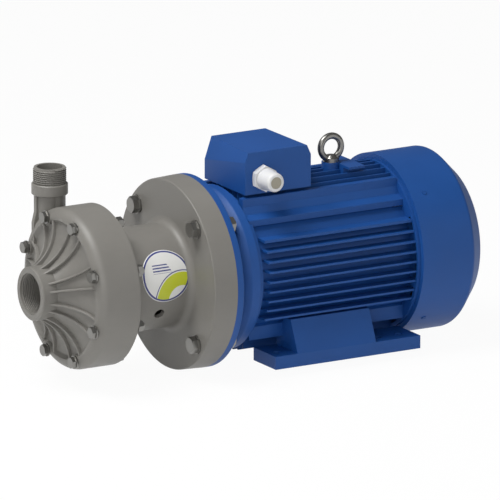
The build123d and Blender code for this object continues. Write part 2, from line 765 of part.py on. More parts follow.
def inner_magnets():
    """Magnet blocks in the capsule."""
    outer = CARRIER_D / 2 - CARRIER_WALL - GLUE
    x1 = BUSH_BACK - MAGNET_CAP_T
    inner = outer - INNER_MAGNET_T + 2 * GLUE
    return group([sector(x1 - MAGNET_LENGTH, x1, inner, outer, a, MAGNET_SPAN) for a in angles(MAGNETS)])


def magnet_cap():
    """Ring that closes the capsule behind the magnets."""
    outer = CARRIER_D / 2 - CARRIER_WALL - GLUE
    return ring(BUSH_BACK - MAGNET_CAP_T, BUSH_BACK, outer - INNER_MAGNET_T + 2 * GLUE, outer)


def impeller_vane():
    """One backward-curved vane, between hub and rim."""
    root, tip = VANE_SINK
    inner, outer = IMPELLER_HUB_D / 2 - root, IMPELLER_D / 2 - tip
    middle = polar((inner + outer) / 2, VANE_SWEEP[0])
    path = ThreePointArc(polar(inner, 0), middle, polar(outer, VANE_SWEEP[1]))
    return along(trace(path, VANE_T), SHROUD_BACK - tip, DISC_FRONT + tip)


def impeller():
    """Closed impeller: back disc and hub, vanes, front shroud with its neck."""
    rim = IMPELLER_D / 2
    neck = IMPELLER_NECK_D / 2
    eye = IMPELLER_EYE_D / 2
    hub_front = NOSE_FRONT + IMPELLER_NOSE_IN
    thin, thick = IMPELLER_HUB_FLARE
    neck_front = VOLUTE_FRONT - NECK_RING_DEPTH + IMPELLER_NECK_GAP
    back = turned(
        (DISC_BACK, CARRIER_NOSE_D / 2 + GLUE), (hub_front, CARRIER_NOSE_D / 2 + GLUE),
        (hub_front, IMPELLER_HUB_D / 2 - thin), (DISC_FRONT, IMPELLER_HUB_D / 2 + thick),
        (DISC_FRONT, rim), (DISC_BACK, rim), rounds=((2, IMPELLER_HUB_ROUND),),
    )
    shroud = turned(
        (neck_front, eye), (neck_front, neck), (SHROUD_FRONT, neck),
        (SHROUD_FRONT, rim), (SHROUD_BACK, rim), (SHROUD_BACK, eye),
    )
    vanes = ring_of(impeller_vane(), VANES)
    return joined([back, shroud, *vanes])


def casing_bolts():
    """Through-bolts of the front casing."""
    seat = CASING_SEAT - CASING_BOLT["washer_t"]
    length = BRACKET_FRONT + BRACKET_FRONT_T + CASING_BOLT["nut"] + BOLT_END - seat
    return group([
        bolt(seat, length, CASING_BOLT["size"], CASING_BOLT["flats"], CASING_BOLT["head"],
             CASING_BOLT_CIRCLE / 2, a)
        for a in CASING_ANGLES
    ])


def casing_washers():
    """Washers under the casing bolts' heads."""
    width = CASING_BOLT["washer_t"]
    inner = CASING_BOLT["size"] / 2 + LOOSE
    return group([
        disc_washer(CASING_SEAT - width, width, inner, CASING_BOLT["washer_r"], CASING_BOLT_CIRCLE / 2, a)
        for a in CASING_ANGLES
    ])


def casing_nuts():
    """Nuts behind the bracket's front flange."""
    x0 = BRACKET_FRONT + BRACKET_FRONT_T
    return group([
        nut(x0, CASING_BOLT["nut"], CASING_BOLT["flats"], CASING_BOLT["size"], CASING_BOLT_CIRCLE / 2, a)
        for a in CASING_ANGLES
    ])


# Bracket and drive coupling

def bracket():
    """Lantern between pump and motor: tube, front flange and thick rear flange."""
    tube = BRACKET_TUBE_D / 2
    bore = BRACKET_BORE_D / 2
    back = FLANGE_D / 2
    step = -BRACKET_FLANGE_T
    front_r = BRACKET_FRONT_D / 2
    recess = -SPIGOT_T - SPIGOT_ROOM
    body = turned(
        (BRACKET_FRONT, bore), (BRACKET_FRONT, front_r), (BRACKET_FRONT + BRACKET_FRONT_T, front_r),
        (BRACKET_FRONT + BRACKET_FRONT_T, tube), (step, tube), (step, back - BRACKET_FLANGE_DRAFT),
        (0, back), (0, SPIGOT_D / 2 + LOOSE), (recess, SPIGOT_D / 2 + LOOSE), (recess, bore),
        rounds=((3, BRACKET_FRONT_ROUND), (4, BRACKET_ROOT_ROUND), (5, BRACKET_EDGE_ROUND)),
    )
    y, z = polar(tube, ACCESS_HOLE_ANGLE)
    reach = Plane((ACCESS_HOLE_X, y, z), z_dir=(0, y, z))
    access = extrude(reach * Circle(ACCESS_HOLE_D / 2), BRACKET_TUBE_D - BRACKET_BORE_D, both=True)
    return less(body, [
        access,
        *bolt_holes(BRACKET_FRONT, BRACKET_FRONT + BRACKET_FRONT_T, CASING_BOLT_HOLE_R,
                    CASING_BOLT_CIRCLE / 2, CASING_ANGLES),
        *bolt_holes(step, 0, FLANGE_HOLE_D / 2, FLANGE_PCD / 2, FLANGE_ANGLES),
    ])


def drive_bell():
    """Steel bell that carries the driving magnets, keyed to the motor shaft."""
    bell = turned(
        (BELL_FRONT, BELL_BORE_D / 2), (BELL_FRONT, BELL_D / 2), (BELL_WEB + BELL_WEB_T, BELL_D / 2),
        (BELL_WEB + BELL_WEB_T, BELL_HUB_D / 2), (BELL_HUB_END, BELL_HUB_D / 2),
        (BELL_HUB_END, SHAFT_D / 2 + GLUE), (BELL_WEB, SHAFT_D / 2 + GLUE), (BELL_WEB, BELL_BORE_D / 2),
        rounds=((2, BELL_ROUNDS[0]), (3, BELL_ROUNDS[1])),
    )
    keyway = block((BELL_WEB, BELL_HUB_END), (-KEY_W / 2 - GLUE, KEY_W / 2 + GLUE), (0, KEY_TOP + LOOSE))
    hole = post(SHAFT_D / 2, BELL_HUB_D / 2, GRUB_SCREW_D / 2, GRUB_SCREW_X)
    screws = [Rot(a, 0, 0) * hole for a in GRUB_ANGLES]
    return less(bell, [keyway, *screws])


def bell_grub_screws():
    """Two grub screws, one on the key and one that the bracket's access hole is in line with."""
    top = BELL_HUB_D / 2 - GRUB_SCREW_SINK
    apothem, depth = GRUB_SOCKET
    socket = extrude(RegularPolygon(apothem, 6, major_radius=False), depth)
    socket = Pos(GRUB_SCREW_X, 0, top - depth) * socket
    seats = zip(GRUB_ANGLES, (KEY_TOP, SHAFT_D / 2))
    return group([Rot(a, 0, 0) * (post(seat, top, GRUB_SCREW_D / 2 - GLUE, GRUB_SCREW_X) - socket)
                  for a, seat in seats])


def drive_magnets():
    """Driving magnets, glued in the bell."""
    outer = BELL_BORE_D / 2 - GLUE
    x0 = BELL_FRONT + BELL_MAGNET_IN
    return group([sector(x0, x0 + MAGNET_LENGTH, outer - DRIVE_MAGNET_T, outer, a, MAGNET_SPAN)
                  for a in angles(MAGNETS)])


def shaft_key():
    """Flat key of the shaft's drive end."""
    return block(KEY_X, (-KEY_W / 2, KEY_W / 2), (KEY_TOP - KEY_H, KEY_TOP))


def flange_bolts():
    """Bolts through the bracket's rear flange and the motor's flange."""
    seat = -BRACKET_FLANGE_T - FLANGE_BOLT["washer_t"]
    length = FLANGE_T + FLANGE_BOLT["nut"] + BOLT_END - seat
    return group([
        bolt(seat, length, FLANGE_BOLT["size"], FLANGE_BOLT["flats"], FLANGE_BOLT["head"], FLANGE_PCD / 2, a)
        for a in FLANGE_ANGLES
    ])


def flange_washers():
    """Washers under the flange bolts' heads."""
    width = FLANGE_BOLT["washer_t"]
    inner = FLANGE_BOLT["size"] / 2 + LOOSE
    x0 = -BRACKET_FLANGE_T - width
    return group([
        disc_washer(x0, width, inner, FLANGE_BOLT["washer_r"], FLANGE_PCD / 2, a) for a in FLANGE_ANGLES
    ])


def flange_nuts():
    """Nuts behind the motor's flange."""
    return group([
        nut(FLANGE_T, FLANGE_BOLT["nut"], FLANGE_BOLT["flats"], FLANGE_BOLT["size"], FLANGE_PCD / 2, a)
        for a in FLANGE_ANGLES
    ])


# Motor, still pieces

def front_shield():
    """Front end shield with its flange, spigot and bearing seat."""
    seat_r = BEARING_D / 2
    rim = SHIELD_RIM_D / 2
    register = BARREL_BORE_D / 2 - LOOSE
    bearing_end = FRONT_BEARING_X + BEARING_W + SHIELD_FACE_X
    register_end = BARREL_FRONT + SHIELD_REGISTER
    seal_end = SHIELD_FACE_X + SEAL_RING_T
    body = turned(
        (SHIELD_FACE_X, SEAL_RING_D / 2), (SHIELD_FACE_X, SHIELD_HUB_R), SHIELD_DISH,
        (-SPIGOT_T, SPIGOT_D / 2 - SPIGOT_WALL), (-SPIGOT_T, SPIGOT_D / 2), (0, SPIGOT_D / 2),
        (0, FLANGE_D / 2), (FLANGE_T, FLANGE_D / 2), (FLANGE_T, SHIELD_CONE_D / 2), (SHIELD_CONE_END, rim),
        (BARREL_FRONT, rim), (BARREL_FRONT, register), (register_end, register),
        (register_end, register - SHIELD_REGISTER_WALL), *SHIELD_WEB, (bearing_end, SHIELD_HUB_R),
        (bearing_end, seat_r), (FRONT_BEARING_X, seat_r), (FRONT_BEARING_X, SHIELD_STOP_R),
        (seal_end, SHIELD_STOP_R), (seal_end, SEAL_RING_D / 2),
        rounds=zip((7, 8, 9), SHIELD_ROUNDS),
    )
    spot = FLANGE_BOLT["flats"] / sqrt(3) + SPANNER_ROOM
    sink = SHIELD_SCREW["flats"] / 2 + SPANNER_ROOM
    return less(body, [
        *bolt_holes(0, FLANGE_T, FLANGE_HOLE_D / 2, FLANGE_PCD / 2, FLANGE_ANGLES),
        *bolt_holes(FLANGE_T, FLANGE_T + FLANGE_SPOT_DEPTH, spot, FLANGE_PCD / 2, FLANGE_ANGLES),
        *bolt_holes(0, register_end, SHIELD_SCREW["size"] / 2 + LOOSE, LUG_R, angles(4)),
        *bolt_holes(-SPIGOT_T, SHIELD_SCREW_SEAT, sink, LUG_R, angles(4)),
        *bolt_holes(BARREL_FRONT - LOOSE, register_end + 1, LUG_D / 2 + LOOSE, LUG_R, angles(4)),
    ])


def rear_shield_body():
    """Rear end shield, before its holes are drilled."""
    seat_r = BEARING_D / 2
    register = BARREL_BORE_D / 2 - LOOSE
    register_end = BARREL_BACK - SHIELD_REGISTER
    seat_end = REAR_BEARING_X + BEARING_W + WASHER_T
    seal_end = REAR_FACE - SEAL_RING_T
    (front, front_r), (back, back_r) = REAR_HUB
    return turned(
        (REAR_BEARING_X + front, seat_r), (REAR_BEARING_X + front, front_r), (REAR_BEARING_X + back, back_r),
        (register_end, register - SHIELD_REGISTER_WALL), (register_end, register), (BARREL_BACK, register),
        (BARREL_BACK, REAR_SHIELD_D / 2), (REAR_FACE, REAR_SHIELD_D / 2), (REAR_FACE, SEAL_RING_D / 2),
        (seal_end, SEAL_RING_D / 2), (seal_end, SHIELD_STOP_R), (seat_end, SHIELD_STOP_R), (seat_end, seat_r),
    )


def rear_shield():
    """Rear end shield: bearing seat, air slots behind the fins and lugs for the fan cover."""
    slots = [sector(BARREL_BACK, REAR_FACE, *AIR_SLOT_R, a + side, span)
             for a in angles(4) for side, span in AIR_SLOTS]
    inside = COVER_D / 2 - COVER_WALL
    lug_end = COVER_SCREW_X + COVER_LUG_PAST_SCREW
    lug = block((REAR_FACE, lug_end), (COVER_LUG_R, inside), (-COVER_LUG_W / 2, COVER_LUG_W / 2))
    lug = lug & rod(REAR_FACE, lug_end, inside - LOOSE)
    holes = bolt_holes(BARREL_BACK, REAR_FACE, SHIELD_SCREW["size"] / 2 + LOOSE, SHIELD_SCREW_PCD / 2,
                       FLANGE_ANGLES)
    thread = radial(COVER_SCREW_X, COVER_LUG_R, inside, COVER_SCREW_D / 2)
    body = joined([rear_shield_body(), *ring_of(lug, 4, 45)])
    return less(body, [*slots, *holes, *ring_of(thread, 4, 45)])


def shield_screws():
    """Screws of the two end shields."""
    front_length, rear_length = SHIELD_SCREW_LENGTH
    front = [bolt(SHIELD_SCREW_SEAT, front_length, SHIELD_SCREW["size"], SHIELD_SCREW["flats"],
                  SHIELD_SCREW["head"], LUG_R, a) for a in angles(4)]
    rear = []
    for a in FLANGE_ANGLES:
        y, z = polar(SHIELD_SCREW_PCD / 2, a)
        head = hex_bar(REAR_FACE, REAR_FACE + SHIELD_SCREW["head"], SHIELD_SCREW["flats"], y, z, a)
        rear.append(joined([head, rod(REAR_FACE - rear_length, REAR_FACE, SHIELD_SCREW["size"] / 2, y, z)]))
    return group(front + rear)


def rail_outline(side, upper):
    """Cross-section of one corner rail of the frame: two steps above, one thick step below."""
    lower = (*LOWER_RAIL_IN, (RAIL_FACE_Y, RAIL_EDGE_Z), (RAIL_FACE_Y, RAIL_LOW_Z), (RAIL_IN_Y, RAIL_LOW_Z))
    points = UPPER_RAIL if upper else lower
    return make_face(Polyline(*[(side * y, z) for y, z in points], close=True))


def fin_outlines():
    """Cross-section of all cooling fins, standing on the barrel."""
    root = BARREL_D / 2 - FIN_ROOT
    fins = []
    for k in range(-4, 5):
        z = k * FIN_PITCH
        inner = sqrt(root ** 2 - z ** 2)
        tip = sqrt((SIDE_FIN_D / 2) ** 2 - z ** 2)
        thick = FIN_T * (EDGE_FIN_GROWTH if k == 4 else 1.0)
        for side in (-1, 1):
            fins.append(Pos(side * (inner + tip) / 2, z) * Rectangle(tip - inner, thick))
    for k in range(-3, 4):
        y = k * FIN_PITCH
        inner = sqrt(root ** 2 - y ** 2)
        for side, diameter in ((1, TOP_FIN_D), (-1, BOTTOM_FIN_D)):
            tip = sqrt((diameter / 2) ** 2 - y ** 2)
            fins.append(Pos(y, side * (inner + tip) / 2) * Rectangle(FIN_T, tip - inner))
    return fins


def motor_frame():
    """Finned barrel with corner rails, box neck, eyebolt boss, top pad and screw lugs."""
    barrel_r = BARREL_D / 2
    bore_r = BARREL_BORE_D / 2
    barrel = rod(BARREL_FRONT, BARREL_BACK, barrel_r)
    collar = rod(BARREL_FRONT, COLLAR_BACK, COLLAR_R)
    fins = [along(fin, FIN_FRONT, BARREL_BACK) for fin in fin_outlines()]
    sides = [(side, upper) for side in (-1, 1) for upper in (True, False)]
    rails = [along(rail_outline(side, upper), RAIL_FRONT, BARREL_BACK) for side, upper in sides]
    clear_box = block((COLLAR_BACK, BOX_X[1] + FIN_T), BOX_Y, (BOX_BOTTOM - LOOSE, TOP_FIN_D / 2))
    outside = joined([barrel, collar, *fins, *rails]) - clear_box
    neck = block(NECK_X, (-NECK_Y, NECK_Y), (0, BOX_BOTTOM))
    boss = post(0, EYE_SEAT, EYE_BOSS_D / 2, EYE_X)
    pad = block(TOP_PAD_X, (-TOP_PAD_Y / 2, TOP_PAD_Y / 2), TOP_PAD_Z)
    pad_foot = block(TOP_PAD_X, (-TOP_PAD_FOOT_Y / 2, TOP_PAD_FOOT_Y / 2), (TOP_PAD_FOOT_Z, TOP_PAD_Z[0]))
    hollow = joined([outside, neck, boss, pad, pad_foot]) - rod(BARREL_FRONT, BARREL_BACK, bore_r)
    lug_end = BARREL_FRONT + LUG_LENGTH
    hollow = joined([hollow, *bolt_holes(BARREL_FRONT, lug_end, LUG_D / 2, LUG_R, angles(4))])
    screw_r = SHIELD_SCREW["size"] / 2
    thread_start = BARREL_BACK - REAR_THREAD_DEPTH
    foot_holes = [post(RAIL_LOW_Z, FOOT_THREAD_TOP, FOOT_SCREW["size"] / 2, x, side * FOOT_SCREW_Y)
                  for x in FOOT_SCREW_X for side in (-1, 1)]
    box_holes = [post(BOX_BOTTOM - BOX_THREAD_DEPTH, BOX_BOTTOM, BOX_SCREW["size"] / 2, x, side * BOX_SCREW_Y)
                 for x in BOX_SCREW_X for side in (-1, 1)]
    return less(hollow, [
        *bolt_holes(BARREL_FRONT, lug_end, screw_r, LUG_R, angles(4)),
        *bolt_holes(thread_start, BARREL_BACK, screw_r, SHIELD_SCREW_PCD / 2, FLANGE_ANGLES),
        post(EYE_SEAT - EYE_THREAD_LENGTH, EYE_SEAT, EYE_THREAD_D / 2, EYE_X),
        post(bore_r / 2, BOX_BOTTOM, LEAD_HOLE_D / 2, BOX_MIDDLE),
        *foot_holes, *box_holes,
    ])


def cap_screw(size, head_r, head, length):
    """Socket-head screw standing up, its head's underside at z = 0 and its shank above."""
    socket = extrude(RegularPolygon(size * SOCKET_SHARE, 6, major_radius=False), head / 2)
    return joined([post(-head, 0, head_r), post(0, length, size / 2)]) - Pos(0, 0, -head) * socket


def foot(side):
    """One foot: long plate with three holes, and the leg that is screwed to the corner rail."""
    low = -SHAFT_HEIGHT
    top = low + FOOT_T
    plate = block(FOOT_X, (FOOT_IN, FOOT_OUT), (low, top))
    outline = Polyline(
        (FOOT_OUT, top), LEG_TOP, (LEG_TOP_IN, LEG_TOP[1]), (RAIL_FACE_Y, RAIL_EDGE_Z),
        (RAIL_FACE_Y, RAIL_LOW_Z), (RAIL_IN_Y, RAIL_LOW_Z), (RAIL_IN_Y, top), close=True,
    )
    leg = along(make_face(outline), *LEG_X)
    hole_y = FOOT_HOLES_Y / 2
    first = FLANGE_TO_FOOT_HOLE
    places = first, first + FOOT_HOLES_X_SHORT, first + FOOT_HOLES_X
    holes = [post(low, top, FOOT_HOLE_D / 2, x, hole_y) for x in places]
    sinks = [post(low, FOOT_SCREW_SEAT, FOOT_SCREW["head_r"] + 1, x, FOOT_SCREW_Y) for x in FOOT_SCREW_X]
    shanks = [post(low, RAIL_LOW_Z, FOOT_SCREW["size"] / 2 + LOOSE, x, FOOT_SCREW_Y) for x in FOOT_SCREW_X]
    body = less(joined([plate, leg]), [*holes, *sinks, *shanks])
    return body if side > 0 else mirror(body, Plane.XZ)


def foot_screws():
    """Socket-head screws that hold the feet, put in from below."""
    length = FOOT_THREAD_TOP - FOOT_SCREW_ROOM - FOOT_SCREW_SEAT
    screw = cap_screw(FOOT_SCREW["size"], FOOT_SCREW["head_r"], FOOT_SCREW["head"], length)
    return group([Pos(x, side * FOOT_SCREW_Y, FOOT_SCREW_SEAT) * screw
                  for x in FOOT_SCREW_X for side in (-1, 1)])


def stator_core():
    """Stack of stator laminations, shrunk into the barrel."""
    return ring(CORE_FRONT, CORE_BACK, STATOR_BORE_D / 2, BARREL_BORE_D / 2 - GLUE)


def stator_windings():
    """Winding heads at both ends of the stator core."""
    inner, outer = WINDING_BORE_D / 2, WINDING_D / 2
    pieces = []
    for near, far in ((CORE_FRONT, CORE_FRONT - WINDING_REACH), (CORE_BACK, CORE_BACK + REAR_WINDING_REACH)):
        pieces.append(turned((near, inner), (far, inner), (far, outer), (near, outer),
                             rounds=((1, WINDING_ROUND), (2, WINDING_ROUND))))
    return group(pieces)


def bearing_outer_rings():
    """Outer rings of the two bearings, with their ball grooves."""
    outer = ring(0, BEARING_W, BALL_PITCH_R + BEARING_SHOULDER, BEARING_D / 2 - GLUE / 2) - groove_ring()
    return group([Pos(x, 0, 0) * outer for x in (FRONT_BEARING_X, REAR_BEARING_X)])


def groove_ring():
    """Ring of round section that cuts the ball grooves."""
    section = Pos(BEARING_W / 2, BALL_PITCH_R) * Circle(BALL_GROOVE_D / 2)
    return revolve(section, Axis.X)


def bearing_inner_rings():
    """Inner rings of the two bearings, with their ball grooves."""
    inner = ring(0, BEARING_W, BEARING_BORE_D / 2 + GLUE / 2, BALL_PITCH_R - BEARING_SHOULDER) - groove_ring()
    return group([Pos(x, 0, 0) * inner for x in (FRONT_BEARING_X, REAR_BEARING_X)])


def bearing_balls():
    """Balls of the two bearings, each set held in its cage."""
    cage = ring((BEARING_W - CAGE_W) / 2, (BEARING_W + CAGE_W) / 2, BALL_PITCH_R - CAGE_T / 2,
                BALL_PITCH_R + CAGE_T / 2)
    ball = Pos(BEARING_W / 2, BALL_PITCH_R, 0) * Sphere(BALL_D / 2)
    one = joined([cage, *ring_of(ball, BEARING_BALLS)])
    return group([Pos(x, 0, 0) * one for x in (FRONT_BEARING_X, REAR_BEARING_X)])


def wave_washer():
    """Spring washer behind the rear bearing's outer ring."""
    x0 = REAR_BEARING_X + BEARING_W
    return ring(x0, x0 + WASHER_T, WASHER_BORE_D / 2, BEARING_D / 2 - FREE)


def shaft_seals():
    """Lip seals of both end shields."""
    lip = SEAL_SEAT_D / 2 + SEAL_LIP_GAP
    fronts = SHIELD_FACE_X, REAR_FACE - SEAL_RING_T
    return group([ring(x, x + SEAL_RING_T, lip, SEAL_RING_D / 2 - GLUE) for x in fronts])


# Motor, turning pieces

def motor_shaft():
    """Motor shaft with drive end, bearing seats, core seat and fan seat, and the keyway."""
    drive = SHAFT_D / 2
    seal = SEAL_SEAT_D / 2
    bearing = BEARING_BORE_D / 2
    core = CORE_SEAT_D / 2
    front_seat = FRONT_BEARING_X - SHAFT_SHOULDER
    rear_seat = REAR_BEARING_X + BEARING_W + SHAFT_STEP
    seal_end = REAR_FACE + SHAFT_STEP
    end = FAN_FRONT + FAN_W - SHAFT_SHOULDER
    tip = -SHAFT_LENGTH
    body = turned(
        (tip, 0), (tip, drive - SHAFT_CHAMFER), (tip + SHAFT_CHAMFER, drive), (0, drive), (0, seal),
        (front_seat, seal), (front_seat, bearing), (FRONT_BEARING_X + BEARING_W, bearing),
        (FRONT_BEARING_X + BEARING_W, core), (REAR_BEARING_X, core), (REAR_BEARING_X, bearing),
        (rear_seat, bearing), (rear_seat, seal), (seal_end, seal), (seal_end, FAN_SEAT_D / 2),
        (end, FAN_SEAT_D / 2), (end, 0),
    )
    keyway = block(KEY_X, (-KEY_W / 2, KEY_W / 2), (KEY_TOP - KEY_H, SHAFT_D))
    clip_x = FAN_FRONT + FAN_HUB_W
    groove = ring(clip_x, clip_x + CLIP_T, FAN_SEAT_D / 2 - CLIP_DEPTH, FAN_SEAT_D / 2)
    return less(body, [keyway, groove])


def rotor_core():
    """Stack of rotor laminations, shrunk onto the shaft."""
    return ring(CORE_FRONT, CORE_BACK, CORE_SEAT_D / 2 + GLUE, ROTOR_D / 2)


def rotor_rings():
    """Cast end rings of the rotor cage."""
    spans = (CORE_FRONT - ROTOR_RING_REACH, CORE_FRONT), (CORE_BACK, CORE_BACK + ROTOR_RING_REACH)
    return group([ring(x0, x1, ROTOR_RING_BORE_D / 2, ROTOR_D / 2 - FREE) for x0, x1 in spans])


def cooling_fan():
    """Radial fan: hub, back disc and straight blades that work in both directions."""
    hub = ring(FAN_FRONT, FAN_FRONT + FAN_HUB_W, FAN_SEAT_D / 2 + GLUE, FAN_HUB_D / 2)
    root = FAN_HUB_D / 2 - FAN_DISC_T / 2
    tip = FAN_D / 2 - FAN_TAPER
    disc = ring(FAN_FRONT, FAN_FRONT + FAN_DISC_T, root, tip)
    outline = Polyline(
        (FAN_FRONT, root), (FAN_FRONT, FAN_D / 2), (FAN_FRONT + FAN_W, tip),
        (FAN_FRONT + FAN_W, FAN_HUB_D), (FAN_FRONT + FAN_HUB_W - FAN_DISC_T, root), close=True,
    )
    blade = extrude(make_face(outline), FAN_BLADE_T / 2, both=True)
    return joined([hub, disc, *ring_of(blade, FAN_BLADES)])


def fan_circlip():
    """Open ring that holds the fan on the shaft."""
    clip_x = FAN_FRONT + FAN_HUB_W
    inner = FAN_SEAT_D / 2 - CLIP_DEPTH + GLUE
    clip = ring(clip_x, clip_x + CLIP_T - GLUE, inner, inner + CLIP_W)
    return clip - block((clip_x, clip_x + CLIP_T), (-CLIP_GAP / 2, CLIP_GAP / 2), (0, FAN_SEAT_D))


# Fan cover

def fan_cover():
    """Pressed cover with a conical shoulder and a grille of ring slots behind the fan."""
    outer = COVER_D / 2
    back = COVER_BACK_D / 2
    wall = COVER_WALL
    slope = wall * COVER_SLOPE
    lip = REAR_SHIELD_D / 2 + FREE
    body = turned(
        (COVER_FRONT, lip), (COVER_FRONT, outer), (COVER_SHOULDER, outer), (COVER_BACK, back),
        (COVER_BACK, 0), (COVER_BACK - wall, 0), (COVER_BACK - wall, back - slope),
        (COVER_SHOULDER - slope, outer - wall), (REAR_FACE, outer - wall), (REAR_FACE, lip),
        rounds=zip((2, 3, 6, 7), COVER_ROUNDS),
    )
    cutters = []
    for k in range(GRILLE_RINGS):
        inner = GRILLE_HUB_R + k * GRILLE_PITCH
        middle = inner + GRILLE_SLOT / 2
        span = 360.0 / GRILLE_SPOKES - degrees(GRILLE_SPOKE_W / middle)
        cutters += [sector(COVER_BACK - wall, COVER_BACK, inner, inner + GRILLE_SLOT, a, span)
                    for a in angles(GRILLE_SPOKES)]
    hole = radial(COVER_SCREW_X, outer - 2 * wall, outer, COVER_SCREW_D / 2 + LOOSE)
    return less(body, [*cutters, *ring_of(hole, 4, 45)])


def fan_cover_screws():
    """Screws that hold the fan cover on the rear shield's lugs."""
    outer = COVER_D / 2
    top = outer + COVER_SCREW_HEAD_T
    head_r = COVER_SCREW_HEAD_R
    head = radial(COVER_SCREW_X, outer - COVER_WALL / 2, top, head_r) - rod(REAR_FACE, COVER_BACK, outer)
    middle = outer + COVER_SCREW_HEAD_T / 2
    shank = radial(COVER_SCREW_X, COVER_LUG_R + LOOSE, middle, COVER_SCREW_D / 2 - GLUE)
    slot = block((COVER_SCREW_X - head_r, COVER_SCREW_X + head_r), (middle, top),
                 (-COVER_SCREW_SLOT / 2, COVER_SCREW_SLOT / 2))
    screw = joined([head, shank]) - slot
    return group(ring_of(screw, 4, 45))


# Terminal box

def box_planes(inset=0.0):
    """Sloping sides of the terminal box, moved inwards by inset."""
    (x0, x1), (y0, y1) = BOX_X, BOX_Y
    lean, drop = BOX_FRONT_SLOPE
    near, far = BOX_BACK_SLOPE
    slopes = (
        ((x0, y0, BOX_SPLIT), (x0, y1, BOX_SPLIT - drop), (x0 + lean, y0, BOX_TOP)),
        ((x1, y0, BOX_SPLIT), (x1 - near, y0, BOX_TOP), (x1 - far, y1, BOX_TOP)),
    )
    planes = []
    for a, b, c in slopes:
        normal = (Vector(*b) - Vector(*a)).cross(Vector(*c) - Vector(*a)).normalized()
        if normal.Z < 0:
            normal = -normal
        planes.append(Plane(Vector(*a) - normal * inset, z_dir=normal))
    return planes


def box_solid(z0, z1, inset=0.0):
    """Solid of the terminal box between two heights, with its sloping sides."""
    xs = (BOX_X[0] + inset, BOX_X[1] - inset)
    ys = (BOX_Y[0] + inset, BOX_Y[1] - inset)
    body = block(xs, ys, (z0, z1))
    for plane in box_planes(inset):
        body = split(body, bisect_by=plane, keep=Keep.BOTTOM)
    return body


def terminal_box():
    """Lower half of the terminal box: floor with the lead hole, walls, posts and gland hole."""
    shell = box_solid(BOX_BOTTOM, BOX_SPLIT) - box_solid(BOX_BOTTOM + BOX_FLOOR_T, BOX_SPLIT + 1, BOX_WALL)
    low = BOX_SPLIT - LID_POST_LENGTH
    posts = [post(low, BOX_SPLIT, LID_POST_D / 2, x, y) for x in LID_POST_X for y in LID_POST_Y]
    body = joined([shell, *posts])
    gland_hole = Pos(GLAND_X, BOX_Y[0], GLAND_Z) * Rot(90, 0, 0) * Cylinder(GLAND_D / 2, 4 * BOX_WALL)
    floor = (BOX_BOTTOM, BOX_BOTTOM + BOX_FLOOR_T)
    screw_r = BOX_SCREW["size"] / 2 + LOOSE
    return less(body, [
        gland_hole,
        post(*floor, LEAD_HOLE_D / 2, BOX_MIDDLE),
        *[post(*floor, screw_r, x, side * BOX_SCREW_Y) for x in BOX_SCREW_X for side in (-1, 1)],
        *[post(low, BOX_SPLIT, LID_SCREW["size"] / 2, x, y) for x in LID_POST_X for y in LID_POST_Y],
    ])


def box_gasket():
    """Flat seal in the joint of the box, just inside its walls."""
    inset = BOX_WALL + GASKET_GAP
    low = BOX_SPLIT - GASKET_T
    outer = box_solid(low, BOX_SPLIT, inset)
    inner = box_solid(low, BOX_SPLIT, inset + GASKET_W)
    posts = [post(low, BOX_SPLIT, LID_POST_D / 2 + LOOSE, x, y) for x in LID_POST_X for y in LID_POST_Y]
    return less(outer, [inner, *posts])


def lid_screw(x, y):
    """Countersunk screw of the lid, flush with its top."""
    head = LID_SCREW["head_r"]
    shank = LID_SCREW["size"] / 2 - GLUE
    cone = Pos(x, y, BOX_TOP - LID_HEAD_T / 2) * Cone(shank, head - LOOSE, LID_HEAD_T)
    return joined([cone, post(BOX_SPLIT - LID_POST_LENGTH, BOX_TOP - LID_HEAD_T / 2, shank, x, y)])


def box_lid():
    """Lid of the terminal box: hollow, with bosses for its screws."""
    roof = BOX_TOP - BOX_WALL
    outside = box_solid(BOX_SPLIT, BOX_TOP)
    shell = outside - box_solid(BOX_SPLIT, roof, BOX_WALL)
    bosses = [post(BOX_SPLIT, BOX_TOP, LID_POST_D / 2, x, y) & outside
              for x in LID_POST_X for y in LID_POST_Y]
    size = LID_SCREW["size"] / 2
    cutters = []
    for x in LID_POST_X:
        for y in LID_POST_Y:
            cutters.append(post(BOX_SPLIT, BOX_TOP, size + LOOSE, x, y))
            cutters.append(Pos(x, y, BOX_TOP - LID_HEAD_T / 2) * Cone(size, LID_SCREW["head_r"], LID_HEAD_T))
    return less(joined([shell, *bosses]), cutters)


def lid_screws():
    """Screws of the lid."""
    return group([lid_screw(x, y) for x in LID_POST_X for y in LID_POST_Y])


def box_screws():
    """Screws that hold the terminal box on the frame's neck."""
    size = BOX_SCREW["size"] - 2 * GLUE
    screw = Rot(180, 0, 0) * cap_screw(size, BOX_SCREW["head_r"], BOX_SCREW["head"], BOX_SCREW_LENGTH)
    top = BOX_BOTTOM + BOX_FLOOR_T
    return group([Pos(x, side * BOX_SCREW_Y, top) * screw for x in BOX_SCREW_X for side in (-1, 1)])


def terminal_board():
    """Insulating block that carries the six terminals, standing on two feet over the lead hole."""
    length, width, height = BOARD_SIZE
    foot_length, foot_height = BOARD_FEET
    floor = BOX_BOTTOM + BOX_FLOOR_T
    ends = BOX_MIDDLE - length / 2, BOX_MIDDLE + length / 2
    body = block(ends, (-width / 2, width / 2), (floor, floor + height))
    between = ends[0] + foot_length, ends[1] - foot_length
    tunnel = block(between, (-width, width), (floor, floor + foot_height))
    holes = [post(floor + foot_height, floor + height, STUD_R + GLUE, *spot) for spot in stud_spots()]
    return less(body, [tunnel, *holes])


def stud_spots():
    """Places of the six terminals."""
    across, aside = STUD_PITCH
    return [(BOX_MIDDLE + k * across, side * aside) for k in (-1, 0, 1) for side in (-1, 1)]


